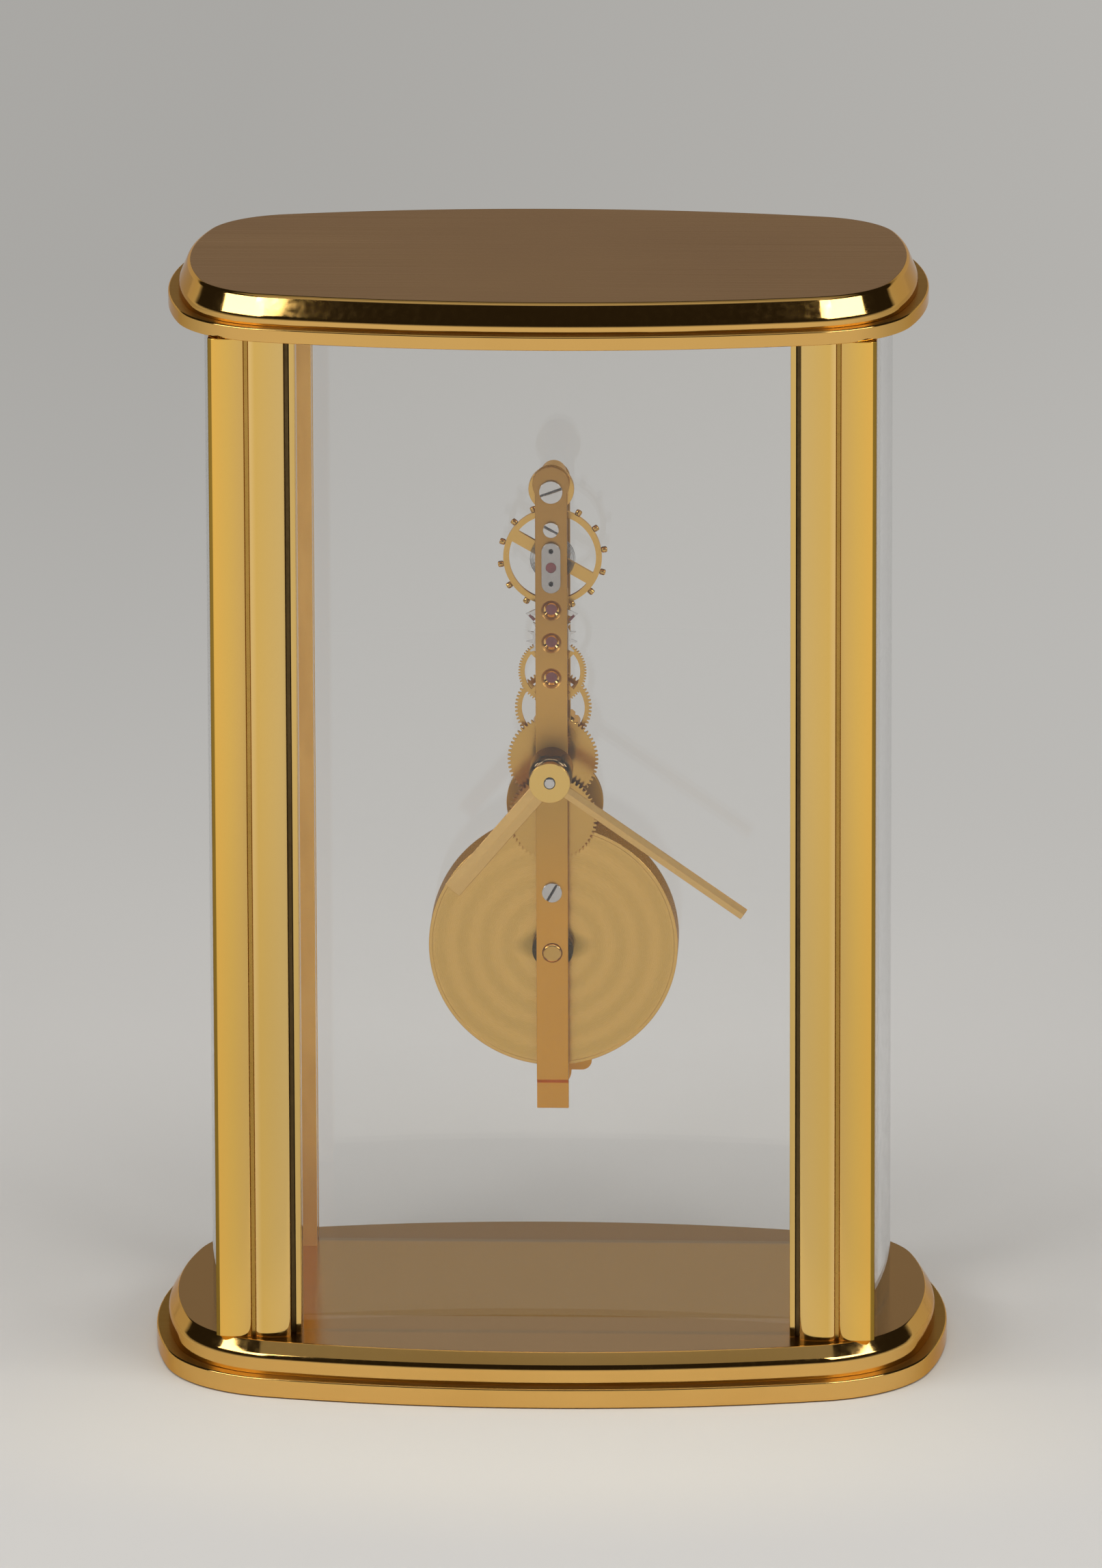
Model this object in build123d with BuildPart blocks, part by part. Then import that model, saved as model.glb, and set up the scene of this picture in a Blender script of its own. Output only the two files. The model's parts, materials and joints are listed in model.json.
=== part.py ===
# Mystery clock: a gilt case of two stepped plates on four reeded pillars, glazed all round,
# with an in-line eight-day movement that stands off the rear glass and carries the hands.
# Millimetres. Origin: centre of the footprint at the table. +Z up, -Y to the front, +X to the right.
import os
from math import cos, hypot, pi, radians, sin
from build123d import *

os.makedirs("parts", exist_ok=True)

# Case, overall
case_height = 210.0
base_width = 150.0
base_depth = 96.0
top_inset = 4.1
front_bow_radius = 235.0
side_bow_radius = 90.0
corner_radius = 26.0

# Stepped plates
plinth_height = 3.65
platform_wall = 3.4
platform_bevel = 2.65
base_ledge = 2.3
base_bevel_run = 1.8
rim_height = 2.65
cap_wall = 1.55
cap_bevel = 4.0
top_ledge = 2.0
cap_bevel_run = 1.75
edge_round = 0.35
felt_thickness = 1.0
felt_margin = 9.0

# Pillars: two reeds to the outside, a set-back flange to the inside, slots for the panes
pillar_outer = 61.7
reed_width = 6.6
reed_groove = 0.8
groove_depth = 0.6
flange_width = 1.1
reed_crest = 35.5
reed_height = 2.5
pillar_inside = 25.0

# Glazing
pane_thickness = 3.0
pane_inner_face = 28.8
pane_seat = 1.8
pane_play = 0.1
pane_head_gap = 0.3
side_pane_thickness = 2.2
side_pane_bulge = 64.2
side_pane_radius = 95.0
side_pane_seat = 2.0

# Tie rods, from the plinth through the pillars into the cap
rod_radius = 1.5
rod_head_radius = 2.7
rod_head = 1.5
rod_play = 0.1
rod_x = 54.5
rod_y = 29.5
rod_in_cap = 4.0

# Movement, heights of the arbors on the middle line
barrel_z = 72.8
intermediate_z = 98.0
centre_z = 109.0
third_z = 118.4
fourth_z = 126.4
escape_z = 133.3
pallet_z = 139.6
balance_z = 148.1

# Movement, bars, posts and screws
bar_front = 9.0
bar_thickness = 2.0
bar_width = 6.0
bar_head_radius = 3.47
bar_top = 167.4
bar_bottom = 42.0
foot_top = 47.8
foot_step = 0.8
bar_gap = 13.9
rear_bar_thickness = 1.8
rear_bar_top = 164.2
rear_lobe_radius = 9.2
lug_reach = 5.0
lug_z = 47.2
lug_radius = 1.9
post_radius = 2.4
post_boss_radius = 4.3
post_boss = 1.4
top_post_z = 162.6
low_post_z = 45.0
screw_radius = 0.9
screw_head = 0.6
screw_slot = 0.4
top_screw_radius = 2.2
rear_screw_radius = 1.5
low_screw_z = 84.7
low_screw_radius = 1.9
mid_screw_z = 155.3
mid_screw_radius = 1.5
running_play = 0.05
end_shake = 0.2

# Jewels and the balance end plate
jewel_radius = 1.45
sink_radius = 1.95
sink_depth = 0.6
pivot_radius = 0.25
end_plate_width = 3.6
end_plate_length = 9.8
end_plate_thickness = 0.8
end_plate_drop = 0.1
end_jewel_radius = 0.95
end_screw_radius = 0.45
end_screw_reach = 3.15

# Train: teeth, and depths of the front faces
wheel_thickness = 0.6
tooth_height = 0.9
rim_width = 0.8
spoke_width = 0.8
hub_ratio = 0.2
barrel_teeth = 100
intermediate_leaves = 10
intermediate_teeth = 58
centre_leaves = 20
centre_teeth = 64
third_leaves = 8
third_teeth = 60
fourth_leaves = 8
fourth_teeth = 70
escape_leaves = 7
escape_teeth = 15
escape_radius = 4.8
escape_root = 3.7
intermediate_wheel_y = 13.2
intermediate_arbor_radius = 0.7
centre_pinion_y = 13.1
centre_pinion_length = 1.9
centre_wheel_y = 15.4
centre_sleeve_radius = 1.2
third_pinion_y = 15.2
third_wheel_y = 18.0
train_arbor_radius = 0.5
fourth_pinion_y = 17.8
fourth_wheel_y = 14.2
pinion_length = 1.0
escape_wheel_y = 12.0
escape_pinion_y = 13.6
escape_pinion_length = 1.6
escape_arbor_radius = 0.35

# Motion work
cannon_leaves = 12
minute_wheel_teeth = 36
minute_leaves = 10
hour_wheel_teeth = 40
motion_distance = 4.4
hour_wheel_y = 11.3
minute_wheel_y = 12.1

# Barrel and winding
drum_overhang = 0.3
drum_wall = 1.8
drum_front = 14.4
drum_depth = 10.0
cover_thickness = 1.0
cover_ledge = 0.7
ripple_depth = 0.05
ripple_width = 0.5
ring_depth = 1.5
ring_back_gap = 0.3
mainspring_inner = 9.0
mainspring_play = 0.5
barrel_arbor_radius = 1.8
barrel_core_radius = 5.0
arbor_collar_radius = 3.9
arbor_button = 0.5
ratchet_teeth = 24
ratchet_radius = 6.0
ratchet_tooth = 0.8
ratchet_thickness = 0.9
ratchet_gap = 0.2
click_z = 83.5
click_radius = 1.5
click_width = 1.2
click_tip_gap = 0.15
click_lean = 1.6
winding_knob_radius = 7.0
winding_knob_depth = 8.0
setting_knob_radius = 5.0
setting_knob_depth = 6.5
knob_flutes = 18
flute_radius = 0.7
knob_chamfer = 0.6
knob_gap = 1.0
knob_hole_play = 1.0

# Balance
balance_wheel_y = 16.5
balance_depth = 1.0
balance_rim_radius = 9.3
balance_rim_width = 1.1
balance_arm_width = 2.3
balance_arm_angle = -30.0
balance_hub_radius = 1.6
balance_staff_radius = 0.5
timing_screws = 14
timing_screw_radius = 0.6
timing_screw_length = 1.1
roller_y = 13.0
roller_radius = 1.6
roller_thickness = 0.5
impulse_pin_radius = 0.22
impulse_pin_throw = 1.25
impulse_pin_length = 0.25
hairspring_y = 15.2
hairspring_inner = 1.6
hairspring_pitch = 0.7
hairspring_turns = 4
hairspring_thickness = 0.2
hairspring_height = 0.5
stud_radius = 0.4

# Escapement
fork_y = 12.0
fork_thickness = 0.6
fork_width = 0.9
fork_reach = 6.2
fork_mouth = 0.8
fork_horn = 0.5
stone_angle = 42.0
stone_gap = 0.12
stone_width = 0.5
stone_length = 1.4
escape_lead = 0.29
pallet_cock_y = 14.2
pallet_cock_thickness = 0.8
pallet_post_x = 2.2
pallet_post_rise = 2.1
pallet_post_radius = 0.6

# Hands
collar_radius = 4.1
collar_front = 2.0
hour_pipe_radius = 1.9
cannon_pipe_radius = 1.0
centre_arbor_radius = 0.55
centre_shoulder_radius = 1.1
hand_thickness = 0.8
hand_edge = 0.25
hand_boss_radius = 3.4
hour_hand_y = 0.4
minute_hand_y = -0.9
hour_hand_length = 28.6
hour_hand_width = 3.5
minute_hand_length = 44.7
minute_hand_width = 2.2
hub_radius = 3.85
hub_thickness = 1.2
hub_neck = 0.3
hub_neck_radius = 2.2
hub_pin_radius = 1.1
hub_pin_height = 0.35
hour_angle = 220.4
minute_angle = 125.3

# Standoffs of the movement on the rear glass
spacer_radius = 2.4
spacer_low_z = 52.0
spacer_high_z = 155.3
mount_screw_radius = 1.2
mount_head_radius = 2.6
mount_head = 1.4

# Worked-out places
platform_top = plinth_height + platform_wall + platform_bevel
rim_bottom = case_height - rim_height - cap_wall - cap_bevel
cap_bottom = rim_bottom + rim_height
bar_back = bar_front + bar_thickness
rear_bar_front = bar_back + bar_gap
rear_bar_back = rear_bar_front + rear_bar_thickness
pane_outer_face = pane_inner_face + pane_thickness
knob_front = pane_outer_face + knob_gap
drum_back = drum_front + drum_depth
ring_back = drum_back - ring_back_gap
ring_front = ring_back - ring_depth
ratchet_front = rear_bar_back + ratchet_gap
ratchet_back = ratchet_front + ratchet_thickness
motion_z = centre_z + motion_distance
sleeve_back = centre_wheel_y + wheel_thickness + 0.4
stud_rise = hairspring_inner + hairspring_pitch * hairspring_turns
hub_back = minute_hand_y - hub_neck
hub_front = hub_back - hub_thickness

# Modules, from the distances of the arbors
barrel_module = 2 * (intermediate_z - barrel_z) / (barrel_teeth + intermediate_leaves)
intermediate_module = 2 * (centre_z - intermediate_z) / (intermediate_teeth + centre_leaves)
centre_module = 2 * (third_z - centre_z) / (centre_teeth + third_leaves)
third_module = 2 * (fourth_z - third_z) / (third_teeth + fourth_leaves)
fourth_module = 2 * (escape_z - fourth_z) / (fourth_teeth + escape_leaves)
cannon_module = 2 * motion_distance / (cannon_leaves + minute_wheel_teeth)
hour_module = 2 * motion_distance / (minute_leaves + hour_wheel_teeth)
drum_radius = barrel_module * (barrel_teeth / 2 + tooth_height) + drum_overhang


def facing(height, depth):
    """A plane that looks to the front, centred on the middle line at this height and depth."""
    return Plane(origin=(0, depth, height), x_dir=(1, 0, 0), z_dir=(0, -1, 0))


def save(piece, name):
    """Labels a finished piece and writes its file."""
    piece.part.label = name
    export_step(piece.part, f"parts/{name}.step")


def add_outline(inset):
    """Adds the plates' plan to the sketch in hand: four bowed sides, rounded corners, drawn in."""
    half_x = base_width / 2 - inset
    half_y = base_depth / 2 - inset
    front_r = front_bow_radius - inset
    side_r = side_bow_radius - inset
    bows = ((0, front_r - half_y, front_r), (half_x - side_r, 0, side_r), (side_r - half_x, 0, side_r))
    with BuildSketch(Plane.XY, mode=Mode.PRIVATE) as plan:
        with Locations((0, half_y - front_r)):
            Circle(front_r)
        for x, y, radius in bows:
            with Locations((x, y)):
                Circle(radius, mode=Mode.INTERSECT)
        fillet(plan.vertices(), corner_radius - inset)
    add(plan.sketch)


def rod_places():
    """The four places of the tie rods."""
    return [(x, y) for x in (-rod_x, rod_x) for y in (-rod_y, rod_y)]


def cut_rod_holes(low, height, radius):
    """Cuts the four tie-rod holes upwards from a height."""
    with BuildSketch(Plane.XY.offset(low)) as holes:
        with Locations(*rod_places()):
            Circle(radius)
    extrude(holes.sketch, amount=height, mode=Mode.SUBTRACT)


def add_bevel(low, inset, rise, run):
    """Adds a bevelled tier on a plate: the plan at this height, drawn in by a run over a rise."""
    with BuildSketch(Plane.XY.offset(low)) as foot:
        add_outline(inset)
    with BuildSketch(Plane.XY.offset(low + rise)) as head:
        add_outline(inset + run)
    loft([foot.sketch, head.sketch], ruled=True)


def add_turned(height, *steps):
    """Adds turned lengths on one axis: radius, front depth and back depth of each."""
    for radius, front, back in steps:
        with BuildSketch(facing(height, back)) as section:
            Circle(radius)
        extrude(section.sketch, amount=back - front)


def bore(height, radius, front, back):
    """Cuts a round hole along the depth, from a front depth to a back depth."""
    with BuildSketch(facing(height, back)) as hole:
        Circle(radius)
    extrude(hole.sketch, amount=back - front, mode=Mode.SUBTRACT)


def root_radius(teeth, module):
    """Radius at the foot of the teeth."""
    return module * (teeth / 2 - 1.3)


def gear_points(teeth, module, aim, addendum, tip, root):
    """Corners of the teeth in order. One tooth points to the aim; widths are shares of the pitch."""
    low = root_radius(teeth, module)
    high = module * (teeth / 2 + addendum)
    points = []
    for tooth in range(teeth):
        for radius, share in ((low, -root), (high, -tip), (high, tip), (low, root)):
            angle = radians(aim) + 2 * pi * (tooth + share) / teeth
            points.append((radius * cos(angle), radius * sin(angle)))
    return points


def wheel_points(teeth, module, aim=90):
    """A wheel's teeth, one of them straight up towards its pinion."""
    return gear_points(teeth, module, aim, tooth_height, 0.12, 0.29)


def pinion_points(leaves, module, aim=None):
    """A pinion's leaves, with a gap straight down for its wheel's tooth unless aimed."""
    return gear_points(leaves, module, 270 + 180 / leaves if aim is None else aim, 0.5, 0.10, 0.18)


def add_toothed(height, front, length, points):
    """Adds a toothed length on the middle line."""
    with BuildSketch(facing(height, front + length)) as gear:
        with BuildLine():
            Polyline(*points, close=True)
        make_face()
    extrude(gear.sketch, amount=length)


def add_wheel(height, front, points, hole, rim=0.0):
    """A toothed wheel with its bore, crossed out to four spokes where a rim radius is given."""
    with BuildSketch(facing(height, front + wheel_thickness)) as wheel:
        with BuildLine():
            Polyline(*points, close=True)
        make_face()
        if rim:
            Circle(rim, mode=Mode.SUBTRACT)
            Circle(hole + hub_ratio * rim)
            with PolarLocations(rim / 2 + rim_width / 4, 4, start_angle=45):
                Rectangle(rim + rim_width / 2, spoke_width)
        Circle(hole, mode=Mode.SUBTRACT)
    extrude(wheel.sketch, amount=wheel_thickness)


def add_screw(height, seat, head_radius, head, shank, length, slot_angle, towards=-1):
    """A slotted screw: its head stands on the seat, its shank goes in behind the seat."""
    plane = Plane(origin=(0, seat, height), x_dir=(1, 0, 0), z_dir=(0, towards, 0))
    with BuildSketch(plane) as top:
        Circle(head_radius)
    extrude(top.sketch, amount=head)
    with BuildSketch(plane) as stem:
        Circle(shank)
    extrude(stem.sketch, amount=-length)
    with BuildSketch(plane.offset(head)) as slot:
        Rectangle(head_radius * 2.2, min(screw_slot, head_radius / 2), rotation=slot_angle)
    extrude(slot.sketch, amount=-head / 2, mode=Mode.SUBTRACT)


# Base: plinth, felt and platform
with BuildPart() as base_plinth:
    with BuildSketch():
        add_outline(0)
    extrude(amount=plinth_height)
    fillet(base_plinth.faces().sort_by(Axis.Z)[-1].edges(), edge_round)
    with BuildSketch():
        add_outline(felt_margin)
    extrude(amount=felt_thickness, mode=Mode.SUBTRACT)
    cut_rod_holes(felt_thickness, rod_head, rod_head_radius + rod_play)
    cut_rod_holes(felt_thickness, plinth_height, rod_radius + rod_play)
save(base_plinth, "base_plinth")

with BuildPart() as base_felt:
    with BuildSketch():
        add_outline(felt_margin)
    extrude(amount=felt_thickness)
save(base_felt, "base_felt")

with BuildPart() as base_platform:
    with BuildSketch(Plane.XY.offset(plinth_height)):
        add_outline(base_ledge)
    extrude(amount=platform_wall)
    add_bevel(plinth_height + platform_wall, base_ledge, platform_bevel, base_bevel_run)
    cut_rod_holes(plinth_height, platform_wall + platform_bevel, rod_radius + rod_play)
save(base_platform, "base_platform")

# Top: rim and cap
with BuildPart() as top_rim:
    with BuildSketch(Plane.XY.offset(rim_bottom)):
        add_outline(top_inset)
    extrude(amount=rim_height)
    fillet(top_rim.faces().sort_by(Axis.Z)[-1].edges(), edge_round)
    cut_rod_holes(rim_bottom, rim_height, rod_radius + rod_play)
save(top_rim, "top_rim")

with BuildPart() as top_cap:
    with BuildSketch(Plane.XY.offset(cap_bottom)):
        add_outline(top_inset + top_ledge)
    extrude(amount=cap_wall)
    add_bevel(cap_bottom + cap_wall, top_inset + top_ledge, cap_bevel, cap_bevel_run)
    cut_rod_holes(cap_bottom, rod_in_cap, rod_radius)
save(top_cap, "top_cap")

with BuildPart() as tie_rods:
    with BuildSketch(Plane.XY.offset(felt_thickness)):
        with Locations(*rod_places()):
            Circle(rod_head_radius)
    extrude(amount=rod_head)
    with BuildSketch(Plane.XY.offset(felt_thickness)):
        with Locations(*rod_places()):
            Circle(rod_radius)
    extrude(amount=cap_bottom + rod_in_cap - felt_thickness)
save(tie_rods, "tie_rods")


# Pillars: one section, mirrored to the four corners
def add_side_ring(side, play):
    """The bowed side pane's ring in plan, with play on both faces."""
    with Locations((side * (side_pane_bulge - side_pane_radius), 0)):
        Circle(side_pane_radius + play)
        Circle(side_pane_radius - side_pane_thickness - play, mode=Mode.SUBTRACT)


def save_pillar(side, face, name):
    """A reeded pillar: side is -1 left or 1 right, face is -1 front or 1 rear."""
    spring = reed_crest - reed_height
    floor = spring - groove_depth
    outer_reed = pillar_outer - reed_width
    inner_reed_end = outer_reed - reed_groove
    inner_reed = inner_reed_end - reed_width
    flange_end = inner_reed - reed_groove
    inner = flange_end - flange_width
    slot = inner + pane_seat + pane_play
    slot_low = pane_inner_face - pane_play
    slot_high = pane_outer_face + pane_play
    corners = ((inner_reed, spring), (inner_reed, floor), (flange_end, floor), (flange_end, spring), (inner, spring),
               (inner, slot_high), (slot, slot_high), (slot, slot_low), (inner, slot_low), (inner, pillar_inside),
               (pillar_outer, pillar_inside), (pillar_outer, spring))
    groove = ((outer_reed, spring), (outer_reed, floor), (inner_reed_end, floor), (inner_reed_end, spring))
    with BuildPart() as pillar:
        with BuildSketch(Plane.XY.offset(platform_top)):
            with BuildLine():
                Polyline(*[(side * x, face * y) for x, y in corners])
                ThreePointArc((side * pillar_outer, face * spring),
                              (side * (pillar_outer - reed_width / 2), face * reed_crest),
                              (side * outer_reed, face * spring))
                Polyline(*[(side * x, face * y) for x, y in groove])
                ThreePointArc((side * inner_reed_end, face * spring),
                              (side * (inner_reed_end - reed_width / 2), face * reed_crest),
                              (side * inner_reed, face * spring))
            make_face()
        extrude(amount=rim_bottom - platform_top)
        with BuildSketch(Plane.XY.offset(platform_top)):
            add_side_ring(side, pane_play)
            with Locations((side * side_pane_bulge, face * (pillar_inside + (side_pane_seat + pane_play) / 2))):
                Rectangle(side_pane_bulge, side_pane_seat + pane_play, mode=Mode.INTERSECT)
        extrude(amount=rim_bottom - platform_top, mode=Mode.SUBTRACT)
        with BuildSketch(Plane.XY.offset(platform_top)):
            with Locations((side * rod_x, face * rod_y)):
                Circle(rod_radius + rod_play)
        extrude(amount=rim_bottom - platform_top, mode=Mode.SUBTRACT)
    save(pillar, name)


save_pillar(-1, -1, "pillar_front_left")
save_pillar(1, -1, "pillar_front_right")
save_pillar(-1, 1, "pillar_rear_left")
save_pillar(1, 1, "pillar_rear_right")

# Glazing: flat front and rear, bowed sides
pane_width = 2 * (pillar_outer - 2 * reed_width - 2 * reed_groove - flange_width + pane_seat)
pane_height = rim_bottom - platform_top - pane_head_gap

with BuildPart() as front_glass:
    with BuildSketch(Plane.XY.offset(platform_top)):
        with Locations((0, -pane_inner_face - pane_thickness / 2)):
            Rectangle(pane_width, pane_thickness)
    extrude(amount=pane_height)
save(front_glass, "front_glass")

with BuildPart() as rear_glass:
    with BuildSketch(Plane.XY.offset(platform_top)):
        with Locations((0, pane_inner_face + pane_thickness / 2)):
            Rectangle(pane_width, pane_thickness)
    extrude(amount=pane_height)
    bore(barrel_z, barrel_arbor_radius + knob_hole_play, pane_inner_face, pane_outer_face)
    bore(centre_z, centre_shoulder_radius + knob_hole_play, pane_inner_face, pane_outer_face)
    for height in (spacer_low_z, spacer_high_z):
        bore(height, mount_screw_radius + running_play, pane_inner_face, pane_outer_face)
save(rear_glass, "rear_glass")


def save_side_glass(side, name):
    """A side pane: a slice of a ring between the front and rear pillars."""
    with BuildPart() as pane:
        with BuildSketch(Plane.XY.offset(platform_top)):
            add_side_ring(side, 0)
            with Locations((side * side_pane_bulge, 0)):
                Rectangle(side_pane_bulge, 2 * (pillar_inside + side_pane_seat), mode=Mode.INTERSECT)
        extrude(amount=pane_height)
    save(pane, name)


save_side_glass(-1, "side_glass_left")
save_side_glass(1, "side_glass_right")

# Movement: front bar with its stepped foot, sinks, bores, blind bushes and the motion stud
with BuildPart() as front_bar:
    with BuildSketch(facing(0, bar_back)):
        with Locations((0, (bar_bottom + bar_top - bar_head_radius) / 2)):
            Rectangle(bar_width, bar_top - bar_head_radius - bar_bottom)
        with Locations((0, bar_top - bar_head_radius)):
            Circle(bar_head_radius)
    extrude(amount=bar_thickness)
    with BuildSketch(Plane.YZ.offset(-bar_head_radius)):
        with BuildLine():
            Polyline((bar_front, foot_top), (bar_front + foot_step, foot_top - foot_step),
                     (bar_front + foot_step, bar_bottom), (bar_front, bar_bottom), close=True)
        make_face()
    extrude(amount=2 * bar_head_radius, mode=Mode.SUBTRACT)
    for height in (pallet_z, escape_z, fourth_z):
        bore(height, jewel_radius, bar_front, bar_back)
        with BuildSketch(facing(height, bar_front + sink_depth)):
            Circle(jewel_radius)
        with BuildSketch(facing(height, bar_front)):
            Circle(sink_radius)
        loft(mode=Mode.SUBTRACT)
    bore(centre_z, hour_pipe_radius + running_play, bar_front, bar_back)
    bore(barrel_z, barrel_arbor_radius + running_play, bar_front, bar_back)
    bore(balance_z, end_jewel_radius, bar_front, bar_back)
    for height in (top_post_z, mid_screw_z, low_screw_z):
        bore(height, screw_radius, bar_front, bar_back)
    for height in (intermediate_z, third_z):
        bore(height, pivot_radius + running_play, bar_front + bar_thickness / 3, bar_back)
    for rise in (-end_screw_reach, end_screw_reach):
        bore(balance_z + rise, end_screw_radius / 2, bar_front, bar_back)
    with BuildSketch(facing(pallet_z + pallet_post_rise, bar_back)):
        with Locations((-pallet_post_x, 0), (pallet_post_x, 0)):
            Circle(pallet_post_radius / 2)
    extrude(amount=bar_thickness / 2, mode=Mode.SUBTRACT)
    with BuildSketch(facing(balance_z + stud_rise, bar_back)):
        with Locations((-stud_radius, 0)):
            Circle(stud_radius)
    extrude(amount=bar_thickness / 2, mode=Mode.SUBTRACT)
    add_turned(motion_z, (pivot_radius, bar_back, minute_wheel_y + wheel_thickness + end_shake))
save(front_bar, "front_bar")

with BuildPart() as rear_bar:
    with BuildSketch(facing((bar_bottom + rear_bar_top) / 2, rear_bar_back)):
        SlotOverall(rear_bar_top - bar_bottom, bar_width, rotation=90)
    extrude(amount=rear_bar_thickness)
    with BuildSketch(facing(0, rear_bar_back)):
        with Locations((0, intermediate_z)):
            Circle(rear_lobe_radius)
        with Locations((lug_reach, lug_z)):
            Circle(lug_radius)
        with Locations((lug_reach / 2, lug_z)):
            Rectangle(lug_reach, 2 * lug_radius)
    extrude(amount=rear_bar_thickness)
    for height in (intermediate_z, third_z, fourth_z, escape_z, balance_z):
        bore(height, jewel_radius, rear_bar_front, rear_bar_back)
    bore(centre_z, centre_arbor_radius + running_play, rear_bar_front, rear_bar_back)
    bore(barrel_z, barrel_arbor_radius + running_play, rear_bar_front, rear_bar_back)
    for height in (top_post_z, low_post_z, click_z):
        bore(height, screw_radius, rear_bar_front, rear_bar_back)
    for height in (spacer_low_z, spacer_high_z):
        bore(height, mount_screw_radius, rear_bar_front, rear_bar_back)
save(rear_bar, "rear_bar")

with BuildPart() as bar_posts:
    for height in (top_post_z, low_post_z):
        add_turned(height, (post_radius, bar_back, rear_bar_front))
        if height == top_post_z:
            add_turned(height, (post_boss_radius, bar_back, bar_back + post_boss))
        bore(height, screw_radius, bar_back, rear_bar_front)
save(bar_posts, "bar_posts")

with BuildPart() as bar_screws:
    half_post = bar_gap / 2 - 0.5
    add_screw(top_post_z, bar_front, top_screw_radius, screw_head, screw_radius, bar_thickness + half_post, 20)
    add_screw(mid_screw_z, bar_front, mid_screw_radius, screw_head, screw_radius, bar_thickness, -30)
    add_screw(low_screw_z, bar_front, low_screw_radius, screw_head, screw_radius, bar_thickness, 60)
    for height in (top_post_z, low_post_z):
        add_screw(height, rear_bar_back, rear_screw_radius, screw_head, screw_radius,
                  rear_bar_thickness + half_post, 45, towards=1)
save(bar_screws, "bar_screws")

with BuildPart() as balance_end_plate:
    with BuildSketch(facing(balance_z - end_plate_drop, bar_front)):
        SlotOverall(end_plate_length, end_plate_width, rotation=90)
    extrude(amount=end_plate_thickness)
    bore(balance_z, end_jewel_radius, bar_front - end_plate_thickness, bar_front)
    for rise in (-end_screw_reach, end_screw_reach):
        bore(balance_z + rise, end_screw_radius / 2, bar_front - end_plate_thickness, bar_front)
save(balance_end_plate, "balance_end_plate")

with BuildPart() as end_plate_screws:
    for rise in (-end_screw_reach, end_screw_reach):
        add_screw(balance_z + rise, bar_front - end_plate_thickness, end_screw_radius, screw_head / 2,
                  end_screw_radius / 2, end_plate_thickness + bar_thickness, 15)
save(end_plate_screws, "end_plate_screws")

with BuildPart() as front_jewels:
    for height in (pallet_z, escape_z, fourth_z):
        add_turned(height, (jewel_radius, bar_front + sink_depth, bar_back))
        bore(height, pivot_radius + running_play, bar_front + bar_thickness * 0.45, bar_back)
    add_turned(balance_z, (end_jewel_radius, bar_front - end_plate_thickness, bar_back))
    bore(balance_z, pivot_radius + running_play, bar_front, bar_back)
save(front_jewels, "front_jewels")

with BuildPart() as rear_jewels:
    for height in (intermediate_z, third_z, fourth_z, escape_z, balance_z):
        add_turned(height, (jewel_radius, rear_bar_front, rear_bar_back))
        bore(height, pivot_radius + running_play, rear_bar_front, rear_bar_back)
save(rear_jewels, "rear_jewels")

with BuildPart() as pallet_cock:
    cock_back = pallet_cock_y + pallet_cock_thickness
    with BuildSketch(facing(pallet_z + pallet_post_rise / 2, cock_back)):
        RectangleRounded(2 * (pallet_post_x + pallet_post_radius) + 0.4, pallet_post_rise + 2.2, 0.5)
    extrude(amount=pallet_cock_thickness)
    with BuildSketch(facing(pallet_z + pallet_post_rise, pallet_cock_y)):
        with Locations((-pallet_post_x, 0), (pallet_post_x, 0)):
            Circle(pallet_post_radius)
    extrude(amount=pallet_cock_y - bar_back)
    with BuildSketch(facing(pallet_z + pallet_post_rise, bar_back)):
        with Locations((-pallet_post_x, 0), (pallet_post_x, 0)):
            Circle(pallet_post_radius / 2)
    extrude(amount=bar_thickness / 2)
    bore(pallet_z, pivot_radius + running_play, pallet_cock_y, cock_back)
save(pallet_cock, "pallet_cock")

with BuildPart() as mount_spacers:
    for height in (spacer_low_z, spacer_high_z):
        add_turned(height, (spacer_radius, rear_bar_back, pane_inner_face))
        bore(height, mount_screw_radius, rear_bar_back, pane_inner_face)
save(mount_spacers, "mount_spacers")

with BuildPart() as mount_screws:
    for height in (spacer_low_z, spacer_high_z):
        add_screw(height, pane_outer_face, mount_head_radius, mount_head, mount_screw_radius,
                  pane_outer_face - rear_bar_front, 30, towards=1)
save(mount_screws, "mount_screws")

# Barrel: a plain drum, open to the front, with its teeth on a ring behind, the cover, mainspring and arbor
with BuildPart() as barrel_drum:
    add_turned(barrel_z, (drum_radius, drum_front, ring_front),
               (root_radius(barrel_teeth, barrel_module), ring_front, drum_back))
    add_toothed(barrel_z, ring_front, ring_depth, wheel_points(barrel_teeth, barrel_module))
    bore(barrel_z, drum_radius - drum_wall, drum_front, drum_back - drum_wall)
    bore(barrel_z, drum_radius - cover_ledge, drum_front, drum_front + cover_thickness)
    bore(barrel_z, barrel_arbor_radius + running_play, drum_front, drum_back)
save(barrel_drum, "barrel_drum")

with BuildPart() as barrel_cover:
    add_turned(barrel_z, (drum_radius - cover_ledge, drum_front, drum_front + cover_thickness))
    bore(barrel_z, barrel_arbor_radius + running_play, drum_front, drum_front + cover_thickness)
    for share in (0.34, 0.56, 0.76):
        with BuildSketch(facing(barrel_z, drum_front + ripple_depth)):
            Circle(drum_radius * share + ripple_width / 2)
            Circle(drum_radius * share - ripple_width / 2, mode=Mode.SUBTRACT)
        extrude(amount=ripple_depth, mode=Mode.SUBTRACT)
save(barrel_cover, "barrel_cover")

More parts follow.
